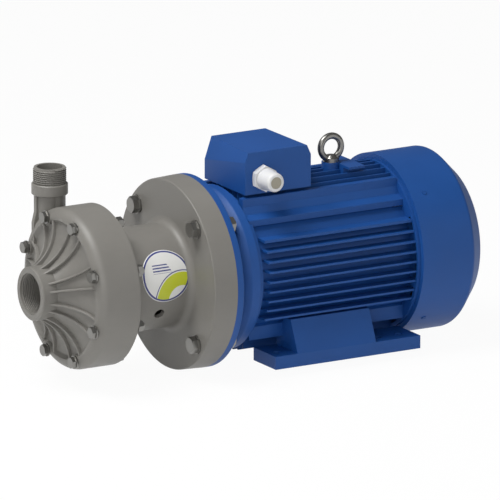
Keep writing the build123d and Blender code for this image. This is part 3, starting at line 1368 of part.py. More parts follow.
def terminal_studs():
    """Six studs, each with its nut."""
    top = BOX_BOTTOM + BOX_FLOOR_T + BOARD_SIZE[2]
    below, above = STUD_SPAN
    nut_r, nut_h = STUD_NUT
    cap = extrude(RegularPolygon(nut_r, 6, major_radius=False), nut_h)
    stud = joined([post(-below, above, STUD_R), cap])
    return group([Pos(x, y, top) * stud for x, y in stud_spots()])


def gland_axis(part):
    """Stand a piece drawn along x at the gland, its x pointing out of the box."""
    return Pos(GLAND_X, BOX_Y[0], GLAND_Z) * Rot(0, 0, -90) * part


def gland_body():
    """Body of the cable gland: hexagon against the box and hollow threads on both sides."""
    start, end = -BOX_WALL - GLAND_TAIL, GLAND_HEX_T + GLAND_NECK
    hexagon = hex_bar(0, GLAND_HEX_T, GLAND_HEX)
    shank = rod(start, 0, GLAND_D / 2 - GLUE)
    neck = rod(GLAND_HEX_T, end, GLAND_NUT_D / 2 - GLAND_NUT_WALL - GLUE)
    return gland_axis(joined([hexagon, shank, neck]) - rod(start, end, GLAND_BORE_D / 2))


def gland_nut():
    """Domed nut of the cable gland."""
    x0 = GLAND_HEX_T + GLAND_NUT_GAP
    x1 = GLAND_HEX_T + GLAND_NUT_LENGTH
    outer = GLAND_NUT_D / 2
    neck = outer - GLAND_NUT_WALL
    mouth = GLAND_MOUTH_D / 2
    lip, throat = GLAND_NUT_LIP
    nut_body = turned(
        (x0, neck), (x0, outer), (x1, outer - GLAND_NUT_TAPER), (x1, mouth), (x1 - lip, mouth),
        (x1 - throat, neck), rounds=zip((1, 2), GLAND_NUT_ROUNDS),
    )
    return gland_axis(nut_body)


def gland_seal():
    """Rubber sleeve between the gland's neck and its nut."""
    lip, throat = GLAND_NUT_LIP
    x0 = GLAND_HEX_T + GLAND_NECK
    x1 = GLAND_HEX_T + GLAND_NUT_LENGTH - lip
    shoulder = x1 + lip - throat
    bore = GLAND_MOUTH_D / 2 + GLUE
    tip = x1 - GLAND_NUT_GAP
    return gland_axis(turned((x0, bore), (x0, GLAND_SEAL_R), (shoulder, GLAND_SEAL_R), (tip, bore)))


def gland_plug():
    """Blanking disc that closes the gland, as it carries no cable."""
    x1 = GLAND_HEX_T + GLAND_NUT_LENGTH - GLAND_PLUG_IN
    return gland_axis(rod(x1 - GLAND_PLUG_T, x1, GLAND_MOUTH_D / 2 - GLUE))


# Lifting eye

def eyebolt():
    """Lifting eye: ring on a collar, with its threaded shank."""
    wire = (EYE_RING_OD - EYE_RING_ID) / 4
    centre = EYE_SEAT + EYE_HEIGHT - EYE_RING_OD / 2
    eye = Pos(EYE_X, 0, centre) * Rot(90, 0, 0) * Torus(EYE_RING_OD / 2 - wire, wire)
    collar_r = EYE_COLLAR_D / 2
    collar_top = EYE_SEAT + EYE_COLLAR_T
    step, neck_r, neck_h = EYE_NECK
    collar = post(EYE_SEAT, collar_top, collar_r, EYE_X)
    neck = Pos(EYE_X, 0, collar_top + neck_h / 2 - 1) * Cone(collar_r - step, neck_r, neck_h)
    shank = post(EYE_SEAT - EYE_THREAD_LENGTH + LOOSE, EYE_SEAT, EYE_THREAD_D / 2 - GLUE, EYE_X)
    eye = eye - post(EYE_SEAT - wire, EYE_SEAT, collar_r, EYE_X)
    return joined([eye, collar, neck, shank])


NODES = {
    "front_casing": front_casing,
    "casing_o_ring": casing_o_ring,
    "containment_shell": containment_shell,
    "shaft_support": shaft_support,
    "ceramic_shaft": ceramic_shaft,
    "front_thrust_ring": front_thrust_ring,
    "rear_thrust_ring": rear_thrust_ring,
    "impeller": impeller,
    "impeller_bush": impeller_bush,
    "magnet_carrier": magnet_carrier,
    "inner_magnets": inner_magnets,
    "magnet_cap": magnet_cap,
    "casing_bolts": casing_bolts,
    "casing_washers": casing_washers,
    "casing_nuts": casing_nuts,
    "bracket": bracket,
    "drive_bell": drive_bell,
    "drive_magnets": drive_magnets,
    "bell_grub_screws": bell_grub_screws,
    "flange_bolts": flange_bolts,
    "flange_washers": flange_washers,
    "flange_nuts": flange_nuts,
    "front_shield": front_shield,
    "motor_frame": motor_frame,
    "left_foot": lambda: foot(-1),
    "right_foot": lambda: foot(1),
    "foot_screws": foot_screws,
    "rear_shield": rear_shield,
    "shield_screws": shield_screws,
    "stator_core": stator_core,
    "stator_windings": stator_windings,
    "rotor_core": rotor_core,
    "rotor_rings": rotor_rings,
    "motor_shaft": motor_shaft,
    "shaft_key": shaft_key,
    "bearing_outer_rings": bearing_outer_rings,
    "bearing_inner_rings": bearing_inner_rings,
    "bearing_balls": bearing_balls,
    "wave_washer": wave_washer,
    "shaft_seals": shaft_seals,
    "cooling_fan": cooling_fan,
    "fan_circlip": fan_circlip,
    "fan_cover": fan_cover,
    "fan_cover_screws": fan_cover_screws,
    "terminal_box": terminal_box,
    "box_gasket": box_gasket,
    "box_lid": box_lid,
    "lid_screws": lid_screws,
    "box_screws": box_screws,
    "terminal_board": terminal_board,
    "terminal_studs": terminal_studs,
    "gland_body": gland_body,
    "gland_nut": gland_nut,
    "gland_seal": gland_seal,
    "gland_plug": gland_plug,
    "eyebolt": eyebolt,
}

os.makedirs("parts", exist_ok=True)
for name, make in NODES.items():
    export_step(put(make()), f"parts/{name}.step")
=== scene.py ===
import json
from math import cos, pi, radians, sin

import bmesh
import bpy
from bpy.props import FloatProperty, FloatVectorProperty, PointerProperty
from mathutils import Matrix, Vector


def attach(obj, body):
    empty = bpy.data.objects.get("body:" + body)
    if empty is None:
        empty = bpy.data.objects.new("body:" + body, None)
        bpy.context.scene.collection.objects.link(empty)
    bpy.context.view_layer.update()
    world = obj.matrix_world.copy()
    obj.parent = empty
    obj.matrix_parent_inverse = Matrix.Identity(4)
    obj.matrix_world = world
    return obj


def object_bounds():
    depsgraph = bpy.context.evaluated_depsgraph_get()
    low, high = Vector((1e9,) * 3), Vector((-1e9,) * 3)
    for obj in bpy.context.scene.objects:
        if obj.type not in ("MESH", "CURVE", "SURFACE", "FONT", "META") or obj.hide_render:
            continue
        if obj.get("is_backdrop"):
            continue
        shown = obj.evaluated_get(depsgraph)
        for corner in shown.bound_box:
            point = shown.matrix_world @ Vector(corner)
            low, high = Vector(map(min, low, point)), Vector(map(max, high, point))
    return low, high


bl_info = {
    "name": "Chemical pump looks",
    "version": (1, 0, 0),
    "blender": (4, 5, 0),
    "location": "3D View > Sidebar > Pump",
    "description": "Finishes, pipe threads, label and studio for a plastic magnetic-drive pump and its motor",
    "category": "Object",
}

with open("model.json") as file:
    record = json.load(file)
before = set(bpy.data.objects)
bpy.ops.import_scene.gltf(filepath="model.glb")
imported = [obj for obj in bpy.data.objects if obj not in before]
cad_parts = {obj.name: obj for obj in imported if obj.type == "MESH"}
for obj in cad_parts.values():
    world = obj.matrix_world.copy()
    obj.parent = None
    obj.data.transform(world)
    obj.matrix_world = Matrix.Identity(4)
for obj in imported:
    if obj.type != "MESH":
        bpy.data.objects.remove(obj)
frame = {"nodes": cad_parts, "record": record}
NODES = frame["nodes"]
RECORD = frame["record"]
MOUNTS = {mount["name"]: mount for mount in RECORD["mounts"]}
SUCTION_PORT = MOUNTS["suction_port"]
DISCHARGE_SPOUT = MOUNTS["discharge_spout"]
MM = 0.001

# The shaft's height, and the face between bracket and motor, from which lengths along the shaft are counted
AXIS_Z = SUCTION_PORT["pos_m"][2]
FACE_X = -0.235

# Pipe threads: their lengths, and their starts below the spout's middle and inside the port's mouth
SPOUT_THREAD = 0.0262
SPOUT_THREAD_BELOW = 0.0135
PORT_THREAD = 0.0255
PORT_THREAD_IN = 0.0024

# A thread's ridge: how far it is sunk in its wall, its foot and crest as shares of the pitch,
# the share of its length over which it runs out, and the share of its size that is left at its ends
RIDGE_SINK = 0.00012
RIDGE_FOOT = 0.90
RIDGE_CREST = 0.20
RUN_OUT = 0.06
RUN_OUT_SIZE = 0.15
STEPS_PER_TURN = 72

# Round label on the bracket's tube
TUBE_RADIUS = 0.094
LABEL_RINGS = 10
LABEL_SECTORS = 72
LABEL_LIFT = 0.00022
LABEL_EDGE_LIFT = 0.00008
LABEL_THICKNESS = 0.0002

# Studio: the floor, and each lamp's place and width
FLOOR_RADIUS = 16.0
FLOOR_SIDES = 96
FLOOR_GAP = 0.0005
LAMP_AIM = (-0.10, 0.0, 0.15)
LAMPS = {
    "key": ((-1.5, 0.1, 3.0), 1.9),
    "fill": ((-2.4, -2.8, 1.5), 2.4),
    "side": ((1.8, -3.4, 1.5), 2.6),
}

# Camera: its right and up, and how far to the right of and above the bracket's face it looks
VIEW_RIGHT = (0.8644, -0.5029, 0.0)
VIEW_UP = (0.1264, 0.2173, 0.9679)
VIEW_SHIFT = (0.1096, 0.0372)
SENSOR_WIDTH = 36.0
NEAREST_SEEN = 1.0
FARTHEST_SEEN = 60.0


# Shader expressions

class Wire:
    """A socket, or a number, that adds Math nodes as it is worked with."""

    def __init__(self, tree, value):
        self.tree = tree
        self.value = value

    def math(self, operation, *others):
        """The result of a Math node on this value and the others."""
        node = self.tree.nodes.new("ShaderNodeMath")
        node.operation = operation
        for socket, value in zip(node.inputs, (self, *others)):
            connect(self.tree, socket, value)
        return Wire(self.tree, node.outputs[0])

    def __add__(self, other):
        return self.math("ADD", other)

    def __radd__(self, other):
        return self.math("ADD", other)

    def __sub__(self, other):
        return self.math("SUBTRACT", other)

    def __rsub__(self, other):
        return Wire(self.tree, other).math("SUBTRACT", self)

    def __mul__(self, other):
        return self.math("MULTIPLY", other)

    def __rmul__(self, other):
        return self.math("MULTIPLY", other)

    def __pow__(self, other):
        return self.math("POWER", other)

    def __lt__(self, other):
        return self.math("LESS_THAN", other)

    def __gt__(self, other):
        return self.math("GREATER_THAN", other)

    def clamped(self):
        """The value kept between 0 and 1."""
        return self.math("MAXIMUM", 0.0).math("MINIMUM", 1.0)

    def ridges(self, per_metre):
        """A row of ridges, so many to the metre, from 0 in the grooves to 1 on the crests."""
        return (self * per_metre).math("PINGPONG", 0.5) * 2.0


def connect(tree, socket, value):
    """Links a Wire to the socket, or writes a plain value to it."""
    if isinstance(value, Wire):
        value = value.value
    if isinstance(value, bpy.types.NodeSocket):
        tree.links.new(value, socket)
    else:
        socket.default_value = value


def shaded(colour, by, lift=0.0):
    """The colour times one factor, or one for each channel, lifted and kept under 1."""
    factors = by if isinstance(by, tuple) else (by, by, by)
    return tuple(min(1.0, c * f + lift) for c, f in zip(colour, factors))


class Finish:
    """One material under construction, with its Principled shader and its Object coordinates."""

    def __init__(self, name, **constants):
        self.material = bpy.data.materials.new(name)
        self.material.use_nodes = True
        self.tree = self.material.node_tree
        self.tree.nodes.clear()
        self.output = self.tree.nodes.new("ShaderNodeOutputMaterial")
        self.shader = self.tree.nodes.new("ShaderNodeBsdfPrincipled")
        self.tree.links.new(self.shader.outputs[0], self.output.inputs["Surface"])
        for socket, value in constants.items():
            self.shader.inputs[socket.replace("_", " ")].default_value = value

    def node(self, kind, settings=None, output=0, **values):
        """Adds a node: its settings first, then the values or links of its sockets."""
        node = self.tree.nodes.new(kind)
        for key, value in (settings or {}).items():
            setattr(node, key, value)
        for key, value in values.items():
            name = key.replace("_", " ")
            socket = next(s for s in node.inputs if s.enabled and s.name == name)
            connect(self.tree, socket, value)
        return Wire(self.tree, node.outputs[output])

    def place(self, scale=(1.0, 1.0, 1.0), at=(0.0, 0.0, 0.0)):
        """Object coordinates, centred and scaled for a pattern."""
        spot = self.node("ShaderNodeTexCoord", output="Object")
        return self.node("ShaderNodeMapping", {"vector_type": "TEXTURE"}, Vector=spot,
                         Location=at, Scale=[1.0 / s for s in scale])

    def noise(self, size, detail=3.0, roughness=0.5, **where):
        """Fractal noise whose lumps are about size metres across."""
        return self.node("ShaderNodeTexNoise", Vector=self.place(**where), Scale=1.0 / size,
                         Detail=detail, Roughness=roughness)

    def mix(self, factor, first, second):
        """Colour mixed from two colours."""
        node = self.tree.nodes.new("ShaderNodeMix")
        node.data_type = "RGBA"
        connect(self.tree, node.inputs[0], factor)
        for socket, colour in zip(node.inputs[6:8], (first, second)):
            connect(self.tree, socket, (*colour, 1.0) if isinstance(colour, tuple) else colour)
        return Wire(self.tree, node.outputs[2])

    def mottle(self, factor, colour, low=1.0, high=1.0, lift=0.0):
        """The colour, from its low shade where the factor is 0 to its high shade where it is 1."""
        return self.mix(factor, shaded(colour, low), shaded(colour, high, lift))

    def split(self, vector):
        """The three numbers of a vector."""
        node = self.tree.nodes.new("ShaderNodeSeparateXYZ")
        connect(self.tree, node.inputs[0], vector)
        return [Wire(self.tree, socket) for socket in node.outputs]

    def bump(self, height, distance, strength):
        """A bump that stands distance metres high where the height is 1, for Normal."""
        return self.node("ShaderNodeBump", Height=height, Distance=distance, Strength=strength)

    def feed(self, **sockets):
        """Links what varies over the surface to the Principled shader."""
        for name, value in sockets.items():
            connect(self.tree, self.shader.inputs[name.replace("_", " ")], value)
        return self.material


# Finishes

def moulded_plastic(colour):
    """Warm grey moulded polypropylene: satin, slightly mottled, with a fine mould grain."""
    finish = Finish("moulded_plastic", IOR=1.49, Specular_IOR_Level=0.45)
    cloud = finish.noise(0.060, detail=4.0)
    grain = finish.noise(0.0011, detail=2.0)
    flow = finish.noise(0.012, scale=(0.25, 1.0, 1.0))
    return finish.feed(
        Base_Color=finish.mottle(cloud * 0.7 + flow * 0.3, colour, low=0.90, high=1.09),
        Roughness=0.36 + 0.12 * cloud + 0.05 * grain,
        Normal=finish.bump(grain * 0.7 + flow * 0.3, distance=0.00006, strength=0.55),
    )


def enamel_paint(colour):
    """Blue machine enamel: a semi-gloss coat with orange peel over sand-cast metal."""
    finish = Finish("enamel_paint", IOR=1.5, Specular_Tint=(0.80, 0.88, 1.0, 1.0), Coat_Roughness=0.16,
                    Coat_IOR=1.3)
    cast = finish.noise(0.0032, detail=4.0, roughness=0.6)
    peel = finish.noise(0.0016, detail=1.0)
    cloud = finish.noise(0.090)
    return finish.feed(
        Base_Color=finish.mottle(cloud, colour, low=0.88, high=1.12, lift=0.002),
        Roughness=0.50 + 0.12 * cloud,
        Coat_Weight=0.02 + 0.03 * cloud,
        Normal=finish.bump(cast * 0.6 + peel * 0.4, distance=0.00009, strength=0.5),
    )


def zinc_plate(colour):
    """Bright zinc plate on a pressed fastener: metallic, a little cloudy, with turned lines."""
    finish = Finish("zinc_plate")
    cloud = finish.noise(0.006, detail=4.0)
    lines = finish.noise(0.0007, detail=2.0, scale=(1.0, 0.12, 0.12))
    return finish.feed(
        Base_Color=finish.mottle(cloud, colour, high=(1.04, 1.0, 0.93)),
        Metallic=0.92 + 0.06 * cloud,
        Roughness=0.22 + 0.14 * cloud + 0.06 * lines,
        Normal=finish.bump(lines, distance=0.00003, strength=0.4),
    )


def worked_steel(colour, name, roughness, stretch, grain=0.0009):
    """Bare metal with tool marks drawn out along one direction."""
    finish = Finish(name)
    marks = finish.noise(grain, scale=stretch)
    cloud = finish.noise(0.015)
    return finish.feed(
        Base_Color=finish.mottle(cloud * 0.5 + marks * 0.5, colour, low=0.84, high=1.12),
        Metallic=0.96 + 0.03 * cloud,
        Roughness=roughness + 0.10 * marks + 0.06 * cloud,
        Normal=finish.bump(marks, distance=0.00004, strength=0.4),
    )


def stacked_sheet(colour):
    """Electrical steel laminations: thin edges side by side along the shaft."""
    finish = Finish("stacked_sheet")
    edge = finish.split(finish.place())[0].ridges(1000.0)
    cloud = finish.noise(0.010)
    return finish.feed(
        Base_Color=finish.mottle(edge * 0.7 + cloud * 0.3, colour, low=0.7),
        Metallic=0.85 + 0.1 * cloud,
        Roughness=0.42 + 0.16 * edge,
        Normal=finish.bump(edge, distance=0.00005, strength=0.4),
    )


def enamelled_wire(colour):
    """Winding heads: bundles of varnished copper wire laid round the bore, with painted shade darkening the
    grooves between strands.
    """
    finish = Finish("enamelled_wire", Coat_Roughness=0.2)
    x, y, z = finish.split(finish.place(at=(0.0, 0.0, AXIS_Z)))
    reach = (y * y + z * z) ** 0.5
    strand_and_groove_shade = (x + reach).ridges(620.0)
    wander = finish.noise(0.020)
    return finish.feed(
        # Painted shade: the colour darkens to under half in the grooves between strands, where the strand
        # pattern is 0
        Base_Color=finish.mottle(strand_and_groove_shade * 0.7 + wander * 0.3, colour, low=0.45),
        Metallic=0.6 + 0.3 * strand_and_groove_shade,
        Roughness=0.30 + 0.2 * wander,
        Coat_Weight=0.4 * wander,
        Normal=finish.bump(strand_and_groove_shade, distance=0.0004, strength=0.6),
    )


def cast_metal(colour):
    """Sand-cast aluminium: pale, dull and pebbled."""
    finish = Finish("cast_metal")
    pebble = finish.noise(0.0022, detail=4.0, roughness=0.6)
    cloud = finish.noise(0.030)
    return finish.feed(
        Base_Color=finish.mottle(cloud, colour, low=0.85),
        Metallic=0.80 + 0.1 * cloud,
        Roughness=0.48 + 0.14 * pebble,
        Normal=finish.bump(pebble, distance=0.00018, strength=0.5),
    )


def ground_ceramic(colour):
    """Ground oxide ceramic: off-white, dense and smooth."""
    finish = Finish("ground_ceramic", IOR=1.76)
    grain = finish.noise(0.0006, detail=2.0)
    cloud = finish.noise(0.012, detail=2.0)
    return finish.feed(
        Base_Color=finish.mottle(cloud, colour, high=(0.98, 0.95, 0.88)),
        Roughness=0.22 + 0.10 * grain,
        Normal=finish.bump(grain, distance=0.00001, strength=0.3),
    )


def dusty_black(colour, name, roughness):
    """Black rubber, plastic or carbon with a dusty, slightly pitted skin."""
    finish = Finish(name, IOR=1.5)
    dust = finish.noise(0.008, detail=4.0)
    pits = finish.noise(0.0012, detail=2.0)
    return finish.feed(
        Base_Color=finish.mottle(dust, colour, high=1.9, lift=0.012),
        Roughness=roughness + 0.14 * dust,
        Normal=finish.bump(pits, distance=0.00006, strength=0.5),
    )


def turned_brass(colour):
    """Turned brass with fine rings and a touch of tarnish."""
    finish = Finish("turned_brass")
    rings = finish.noise(0.0006, detail=2.0, scale=(0.2, 0.2, 1.0))
    tarnish = finish.noise(0.006, detail=4.0)
    return finish.feed(
        Base_Color=finish.mottle(tarnish * 0.6, colour, high=(0.62, 0.55, 0.42)),
        Metallic=0.94 + 0.04 * rings,
        Roughness=0.24 + 0.12 * tarnish,
        Normal=finish.bump(rings, distance=0.00003, strength=0.4),
    )


def moulded_nylon(colour, name):
    """Moulded polyamide: smooth, waxy and slightly translucent at its edges."""
    finish = Finish(name, IOR=1.53, Subsurface_Weight=0.06, Subsurface_Radius=(0.002, 0.002, 0.0015),
                    Subsurface_Scale=1.0)
    cloud = finish.noise(0.010)
    grain = finish.noise(0.0008, detail=2.0)
    return finish.feed(
        Base_Color=finish.mottle(cloud, colour, low=0.93),
        Roughness=0.30 + 0.10 * cloud + 0.06 * grain,
        Normal=finish.bump(grain, distance=0.00002, strength=0.4),
    )


def printed_label(paper, ink, accent):
    """Round vinyl label: a dark ring round a white field, with a sweeping accent band and three bars.

    The print is laid out on the label's own coordinates, from -1 to 1 over its diameter.
    """
    finish = Finish("printed_label", IOR=1.45)
    u, v, _ = finish.split(finish.node("ShaderNodeUVMap", {"uv_map": "disc"}))
    reach = (u * u + v * v) ** 0.5
    ring = (reach > 0.90) * (reach < 0.965)
    inside = reach < 0.90
    sweep = ((u - 0.62) * (u - 0.62) + (v + 0.95) * (v + 0.95)) ** 0.5
    band = (sweep > 0.52) * (sweep < 1.02) * inside
    hair = (sweep > 1.06) * (sweep < 1.10) * inside
    bars = ((v * 9.0).math("FRACT") > 0.55) * (v > 0.10) * (v < 0.44)
    stack = bars * (u > -0.52) * (u < 0.34 - 0.55 * v)
    field = finish.mix(band, paper, accent)
    colour = finish.mix((ring + hair + stack).clamped(), field, ink)
    scuff = finish.noise(0.009, detail=4.0)
    return finish.feed(
        Base_Color=finish.mix(scuff * 0.10, colour, (0.45, 0.44, 0.42)),
        Roughness=0.26 + 0.14 * scuff,
        Normal=finish.bump(scuff, distance=0.00002, strength=0.3),
    )


def pale_floor(colour, glow):
    """Studio floor: matt, seen nearly white by the camera and in reflections, with its shadow kept."""
    finish = Finish("pale_floor", Specular_IOR_Level=0.0)
    cloud = finish.noise(0.8, detail=2.0)
    finish.feed(Base_Color=finish.mottle(cloud, colour, low=0.985), Roughness=0.9 + 0.1 * cloud)
    tree = finish.tree
    rays = [finish.node("ShaderNodeLightPath", output=ray)
            for ray in ("Is Camera Ray", "Is Glossy Ray", "Is Transmission Ray")]
    seen = (rays[0] + rays[1] + rays[2]).clamped()
    lamp = tree.nodes.new("ShaderNodeEmission")
    blend = tree.nodes.new("ShaderNodeMixShader")
    connect(tree, blend.inputs[0], seen * glow)
    tree.links.new(finish.shader.outputs[0], blend.inputs[1])
    tree.links.new(lamp.outputs[0], blend.inputs[2])
    tree.links.new(blend.outputs[0], finish.output.inputs["Surface"])
    return finish.material


# How tool marks are drawn out: round the shaft, or along it
TURNED = (1.0, 0.1, 0.1)
DRAWN = (0.2, 1.0, 1.0)

# For each material slot of the record: its finish, its colour or the setting that holds it,
# and what else the finish needs
MAKERS = {
    "pump_plastic": (moulded_plastic, "plastic", {}),
    "blue_paint": (enamel_paint, "paint", {}),
    "zinc_steel": (zinc_plate, "zinc", {}),
    "plain_steel": (worked_steel, (0.36, 0.36, 0.37),
                    {"name": "machined_steel", "roughness": 0.30, "stretch": TURNED}),
    "bearing_steel": (worked_steel, (0.60, 0.60, 0.62),
                      {"name": "ground_steel", "roughness": 0.14, "stretch": TURNED, "grain": 0.0005}),
    "magnet": (worked_steel, (0.42, 0.42, 0.43),
               {"name": "nickel_plate", "roughness": 0.22, "stretch": DRAWN}),
    "laminations": (stacked_sheet, (0.24, 0.24, 0.26), {}),
    "copper": (enamelled_wire, (0.55, 0.20, 0.08), {}),
    "cast_aluminium": (cast_metal, (0.60, 0.60, 0.60), {}),
    "white_ceramic": (ground_ceramic, (0.84, 0.82, 0.76), {}),
    "carbon": (dusty_black, (0.045, 0.045, 0.048), {"name": "pressed_carbon", "roughness": 0.36}),
    "black_rubber": (dusty_black, (0.018, 0.018, 0.019), {"name": "black_rubber", "roughness": 0.62}),
    "black_plastic": (dusty_black, (0.028, 0.028, 0.030), {"name": "black_plastic", "roughness": 0.42}),
    "brass": (turned_brass, (0.62, 0.44, 0.18), {}),
    "white_nylon": (moulded_nylon, "nylon", {"name": "white_nylon"}),
    "beige_plastic": (moulded_nylon, "plug", {"name": "beige_plastic"}),
}
FINISHES = {}


def finish_for(slot, settings):
    """The finish that a material slot of the record gets, made once."""
    if slot not in FINISHES:
        maker, colour, options = MAKERS[slot]
        if isinstance(colour, str):
            colour = tuple(getattr(settings, colour))
        FINISHES[slot] = maker(colour, **options)
    return FINISHES[slot]


# Meshes

def add_object(name, data):
    """An object at the origin with this data."""
    obj = bpy.data.objects.new(name, data)
    bpy.context.scene.collection.objects.link(obj)
    return obj


def seat_piece(obj, body, material):
    """Gives a finished piece its material and the body that it moves with."""
    obj.data.materials.clear()
    obj.data.materials.append(material)
    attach(obj, body)


class Tree:
    """A Geometry Nodes group under construction, with named inputs."""

    def __init__(self, name):
        self.group = bpy.data.node_groups.new(name, "GeometryNodeTree")
        self.group.interface.new_socket("Geometry", in_out="OUTPUT", socket_type="NodeSocketGeometry")
        self.source = self.group.nodes.new("NodeGroupInput")
        self.sink = self.group.nodes.new("NodeGroupOutput")
        self.inputs = {}
        self.sizes = {}

    def size(self, name, value, kind="NodeSocketFloat"):
        """A named input of the group, with its value for this piece."""
        item = self.group.interface.new_socket(name, in_out="INPUT", socket_type=kind)
        self.inputs[item.identifier] = value
        self.sizes[name] = item.identifier

    def node(self, kind, settings=None, **values):
        """Adds a node: its settings first, then the values, links or named sizes of its sockets."""
        node = self.group.nodes.new(kind)
        for key, value in (settings or {}).items():
            setattr(node, key, value)
        for key, value in values.items():
            name = key.replace("_", " ")
            socket = next(s for s in node.inputs if s.enabled and s.name == name)
            if isinstance(value, str):
                value = next(s for s in self.source.outputs if s.identifier == self.sizes[value])
            if isinstance(value, bpy.types.NodeSocket):
                self.group.links.new(value, socket)
            else:
                socket.default_value = value
        return node

    def finish(self, geometry, material):
        """Ends the group in Realize Instances and Set Material."""
        whole = self.node("GeometryNodeRealizeInstances", Geometry=geometry)
        done = self.node("GeometryNodeSetMaterial", Geometry=whole.outputs[0], Material=material)
        self.group.links.new(done.outputs[0], self.sink.inputs[0])

    def plain_mesh(self, name):
        """Runs the group on an empty mesh and returns an object with the result as a plain mesh."""
        holder = add_object(name + "_nodes", bpy.data.meshes.new(name))
        modifier = holder.modifiers.new("nodes", "NODES")
        modifier.node_group = self.group
        for identifier, value in self.inputs.items():
            modifier[identifier] = value
        graph = bpy.context.evaluated_depsgraph_get()
        mesh = bpy.data.meshes.new_from_object(holder.evaluated_get(graph))
        holder.modifiers.remove(modifier)
        bpy.data.objects.remove(holder)
        return add_object(name, mesh)


def run_out(tree, first, last, size_at_first, size_at_last):
    """The share of its full size that a ridge has between two shares of its length."""
    along = tree.node("GeometryNodeSplineParameter").outputs["Factor"]
    return tree.node("ShaderNodeMapRange", {"interpolation_type": "SMOOTHSTEP"}, Value=along, From_Min=first,
                     From_Max=last, To_Min=size_at_first, To_Max=size_at_last).outputs[0]


def helical_ridge(name, material, root, pitch, length, height, side):
    """A thread's ridge along +z from z = 0: a helix swept with a flat-topped V, thinned at both ends.

    It stands outwards from the root radius where side is 1, and inwards where side is -1.
    """
    tree = Tree(name)
    tree.size("Turns", length / pitch)
    tree.size("Radius", root + side * (height - RIDGE_SINK) / 2)
    tree.size("Length", length)
    tree.size("Ridge height", height + RIDGE_SINK)
    tree.size("Ridge width", pitch * RIDGE_FOOT)
    tree.size("Crest width", pitch * RIDGE_CREST)
    tree.size("Steps", int(STEPS_PER_TURN * length / pitch), "NodeSocketInt")
    spiral = tree.node("GeometryNodeCurveSpiral", Resolution=STEPS_PER_TURN, Rotations="Turns",
                       Start_Radius="Radius", End_Radius="Radius", Height="Length")
    sampled = tree.node("GeometryNodeResampleCurve", Curve=spiral.outputs[0], Count="Steps")
    start = run_out(tree, 0.0, RUN_OUT, RUN_OUT_SIZE, 1.0)
    stop = run_out(tree, 1.0 - RUN_OUT, 1.0, 1.0, RUN_OUT_SIZE)
    swell = tree.node("ShaderNodeMath", {"operation": "MULTIPLY"})
    tree.group.links.new(start, swell.inputs[0])
    tree.group.links.new(stop, swell.inputs[1])
    tapered = tree.node("GeometryNodeSetCurveRadius", Curve=sampled.outputs[0], Radius=swell.outputs[0])
    upright = tree.node("GeometryNodeSetCurveNormal", {"mode": "Z_UP"}, Curve=tapered.outputs[0])
    profile = tree.node("GeometryNodeCurvePrimitiveQuadrilateral", {"mode": "TRAPEZOID"}, Offset=0.0,
                        Height="Ridge height", Bottom_Width="Ridge width", Top_Width="Crest width")
    lean = tree.node("GeometryNodeTransform", Geometry=profile.outputs[0],
                     Rotation=(0.0, 0.0, side * pi / 2))
    swept = tree.node("GeometryNodeCurveToMesh", Curve=upright.outputs[0], Profile_Curve=lean.outputs[0],
                      Fill_Caps=True)
    tree.finish(swept.outputs[0], material)
    return tree.plain_mesh(name)


def close_up(obj):
    """Merges a piece's doubles and turns its faces outwards."""
    mesh = bmesh.new()
    mesh.from_mesh(obj.data)
    bmesh.ops.remove_doubles(mesh, verts=mesh.verts, dist=1e-6)
    bmesh.ops.recalc_face_normals(mesh, faces=mesh.faces)
    mesh.to_mesh(obj.data)
    mesh.free()


def disc_on_tube(name, label):
    """A round disc laid on the bracket's tube, with its print's coordinates, its rim down on the tube."""
    radius = label.diameter / 2
    mesh = bmesh.new()
    layer = mesh.loops.layers.uv.new("disc")
    spots = {}

    def spot(ring, sector):
        """The vertex at a ring and a sector, and its place in the print."""
        key = (ring, sector % LABEL_SECTORS if ring else 0)
        if key not in spots:
            turn = 2 * pi * key[1] / LABEL_SECTORS
            u, v = ring / LABEL_RINGS * cos(turn), ring / LABEL_RINGS * sin(turn)
            rise = label.tilt + v * radius / TUBE_RADIUS
            reach = TUBE_RADIUS + (LABEL_LIFT if ring < LABEL_RINGS else LABEL_EDGE_LIFT)
            place = (FACE_X + label.along + u * radius, -reach * cos(rise), AXIS_Z + reach * sin(rise))
            spots[key] = (mesh.verts.new(place), u, v)
        return spots[key]

    for ring in range(LABEL_RINGS):
        for sector in range(LABEL_SECTORS):
            corners = [spot(ring, sector), spot(ring + 1, sector),
                       spot(ring + 1, sector + 1), spot(ring, sector + 1)]
            corners = corners if ring else corners[:3]
            face = mesh.faces.new([corner[0] for corner in corners])
            face.smooth = True
            for loop, corner in zip(face.loops, corners):
                loop[layer].uv = corner[1:]
    bmesh.ops.recalc_face_normals(mesh, faces=mesh.faces)
    data = bpy.data.meshes.new(name)
    mesh.to_mesh(data)
    mesh.free()
    return add_object(name, data)


# Studio

def lay_floor(studio):
    """A round white floor just under the model."""
    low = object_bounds()[0]
    mesh = bmesh.new()
    bmesh.ops.create_circle(mesh, cap_ends=True, segments=FLOOR_SIDES, radius=FLOOR_RADIUS,
                            matrix=Matrix.Translation((0.0, 0.0, low[2] - FLOOR_GAP)))
    data = bpy.data.meshes.new("studio_floor")
    mesh.to_mesh(data)
    mesh.free()
    data.materials.append(pale_floor(tuple(studio.floor), studio.floor_glow))
    floor = add_object("studio_floor", data)
    floor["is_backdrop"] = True


def light_sky(scene, strength):
    """Even white light from all sides."""
    scene.world = bpy.data.worlds.new("studio_sky")
    scene.world.use_nodes = True
    background = scene.world.node_tree.nodes["Background"]
    background.inputs["Color"].default_value = (1.0, 1.0, 1.0, 1.0)
    background.inputs["Strength"].default_value = strength


def hang_lamp(name, spot, width, power):
    """A round soft lamp that shines on the pump."""
    lamp = bpy.data.lights.new(name, "AREA")
    lamp.shape = "DISK"
    lamp.size = width
    lamp.energy = power
    obj = add_object(name, lamp)
    obj.location = spot
    obj.rotation_euler = (Vector(LAMP_AIM) - Vector(spot)).to_track_quat("-Z", "Y").to_euler()


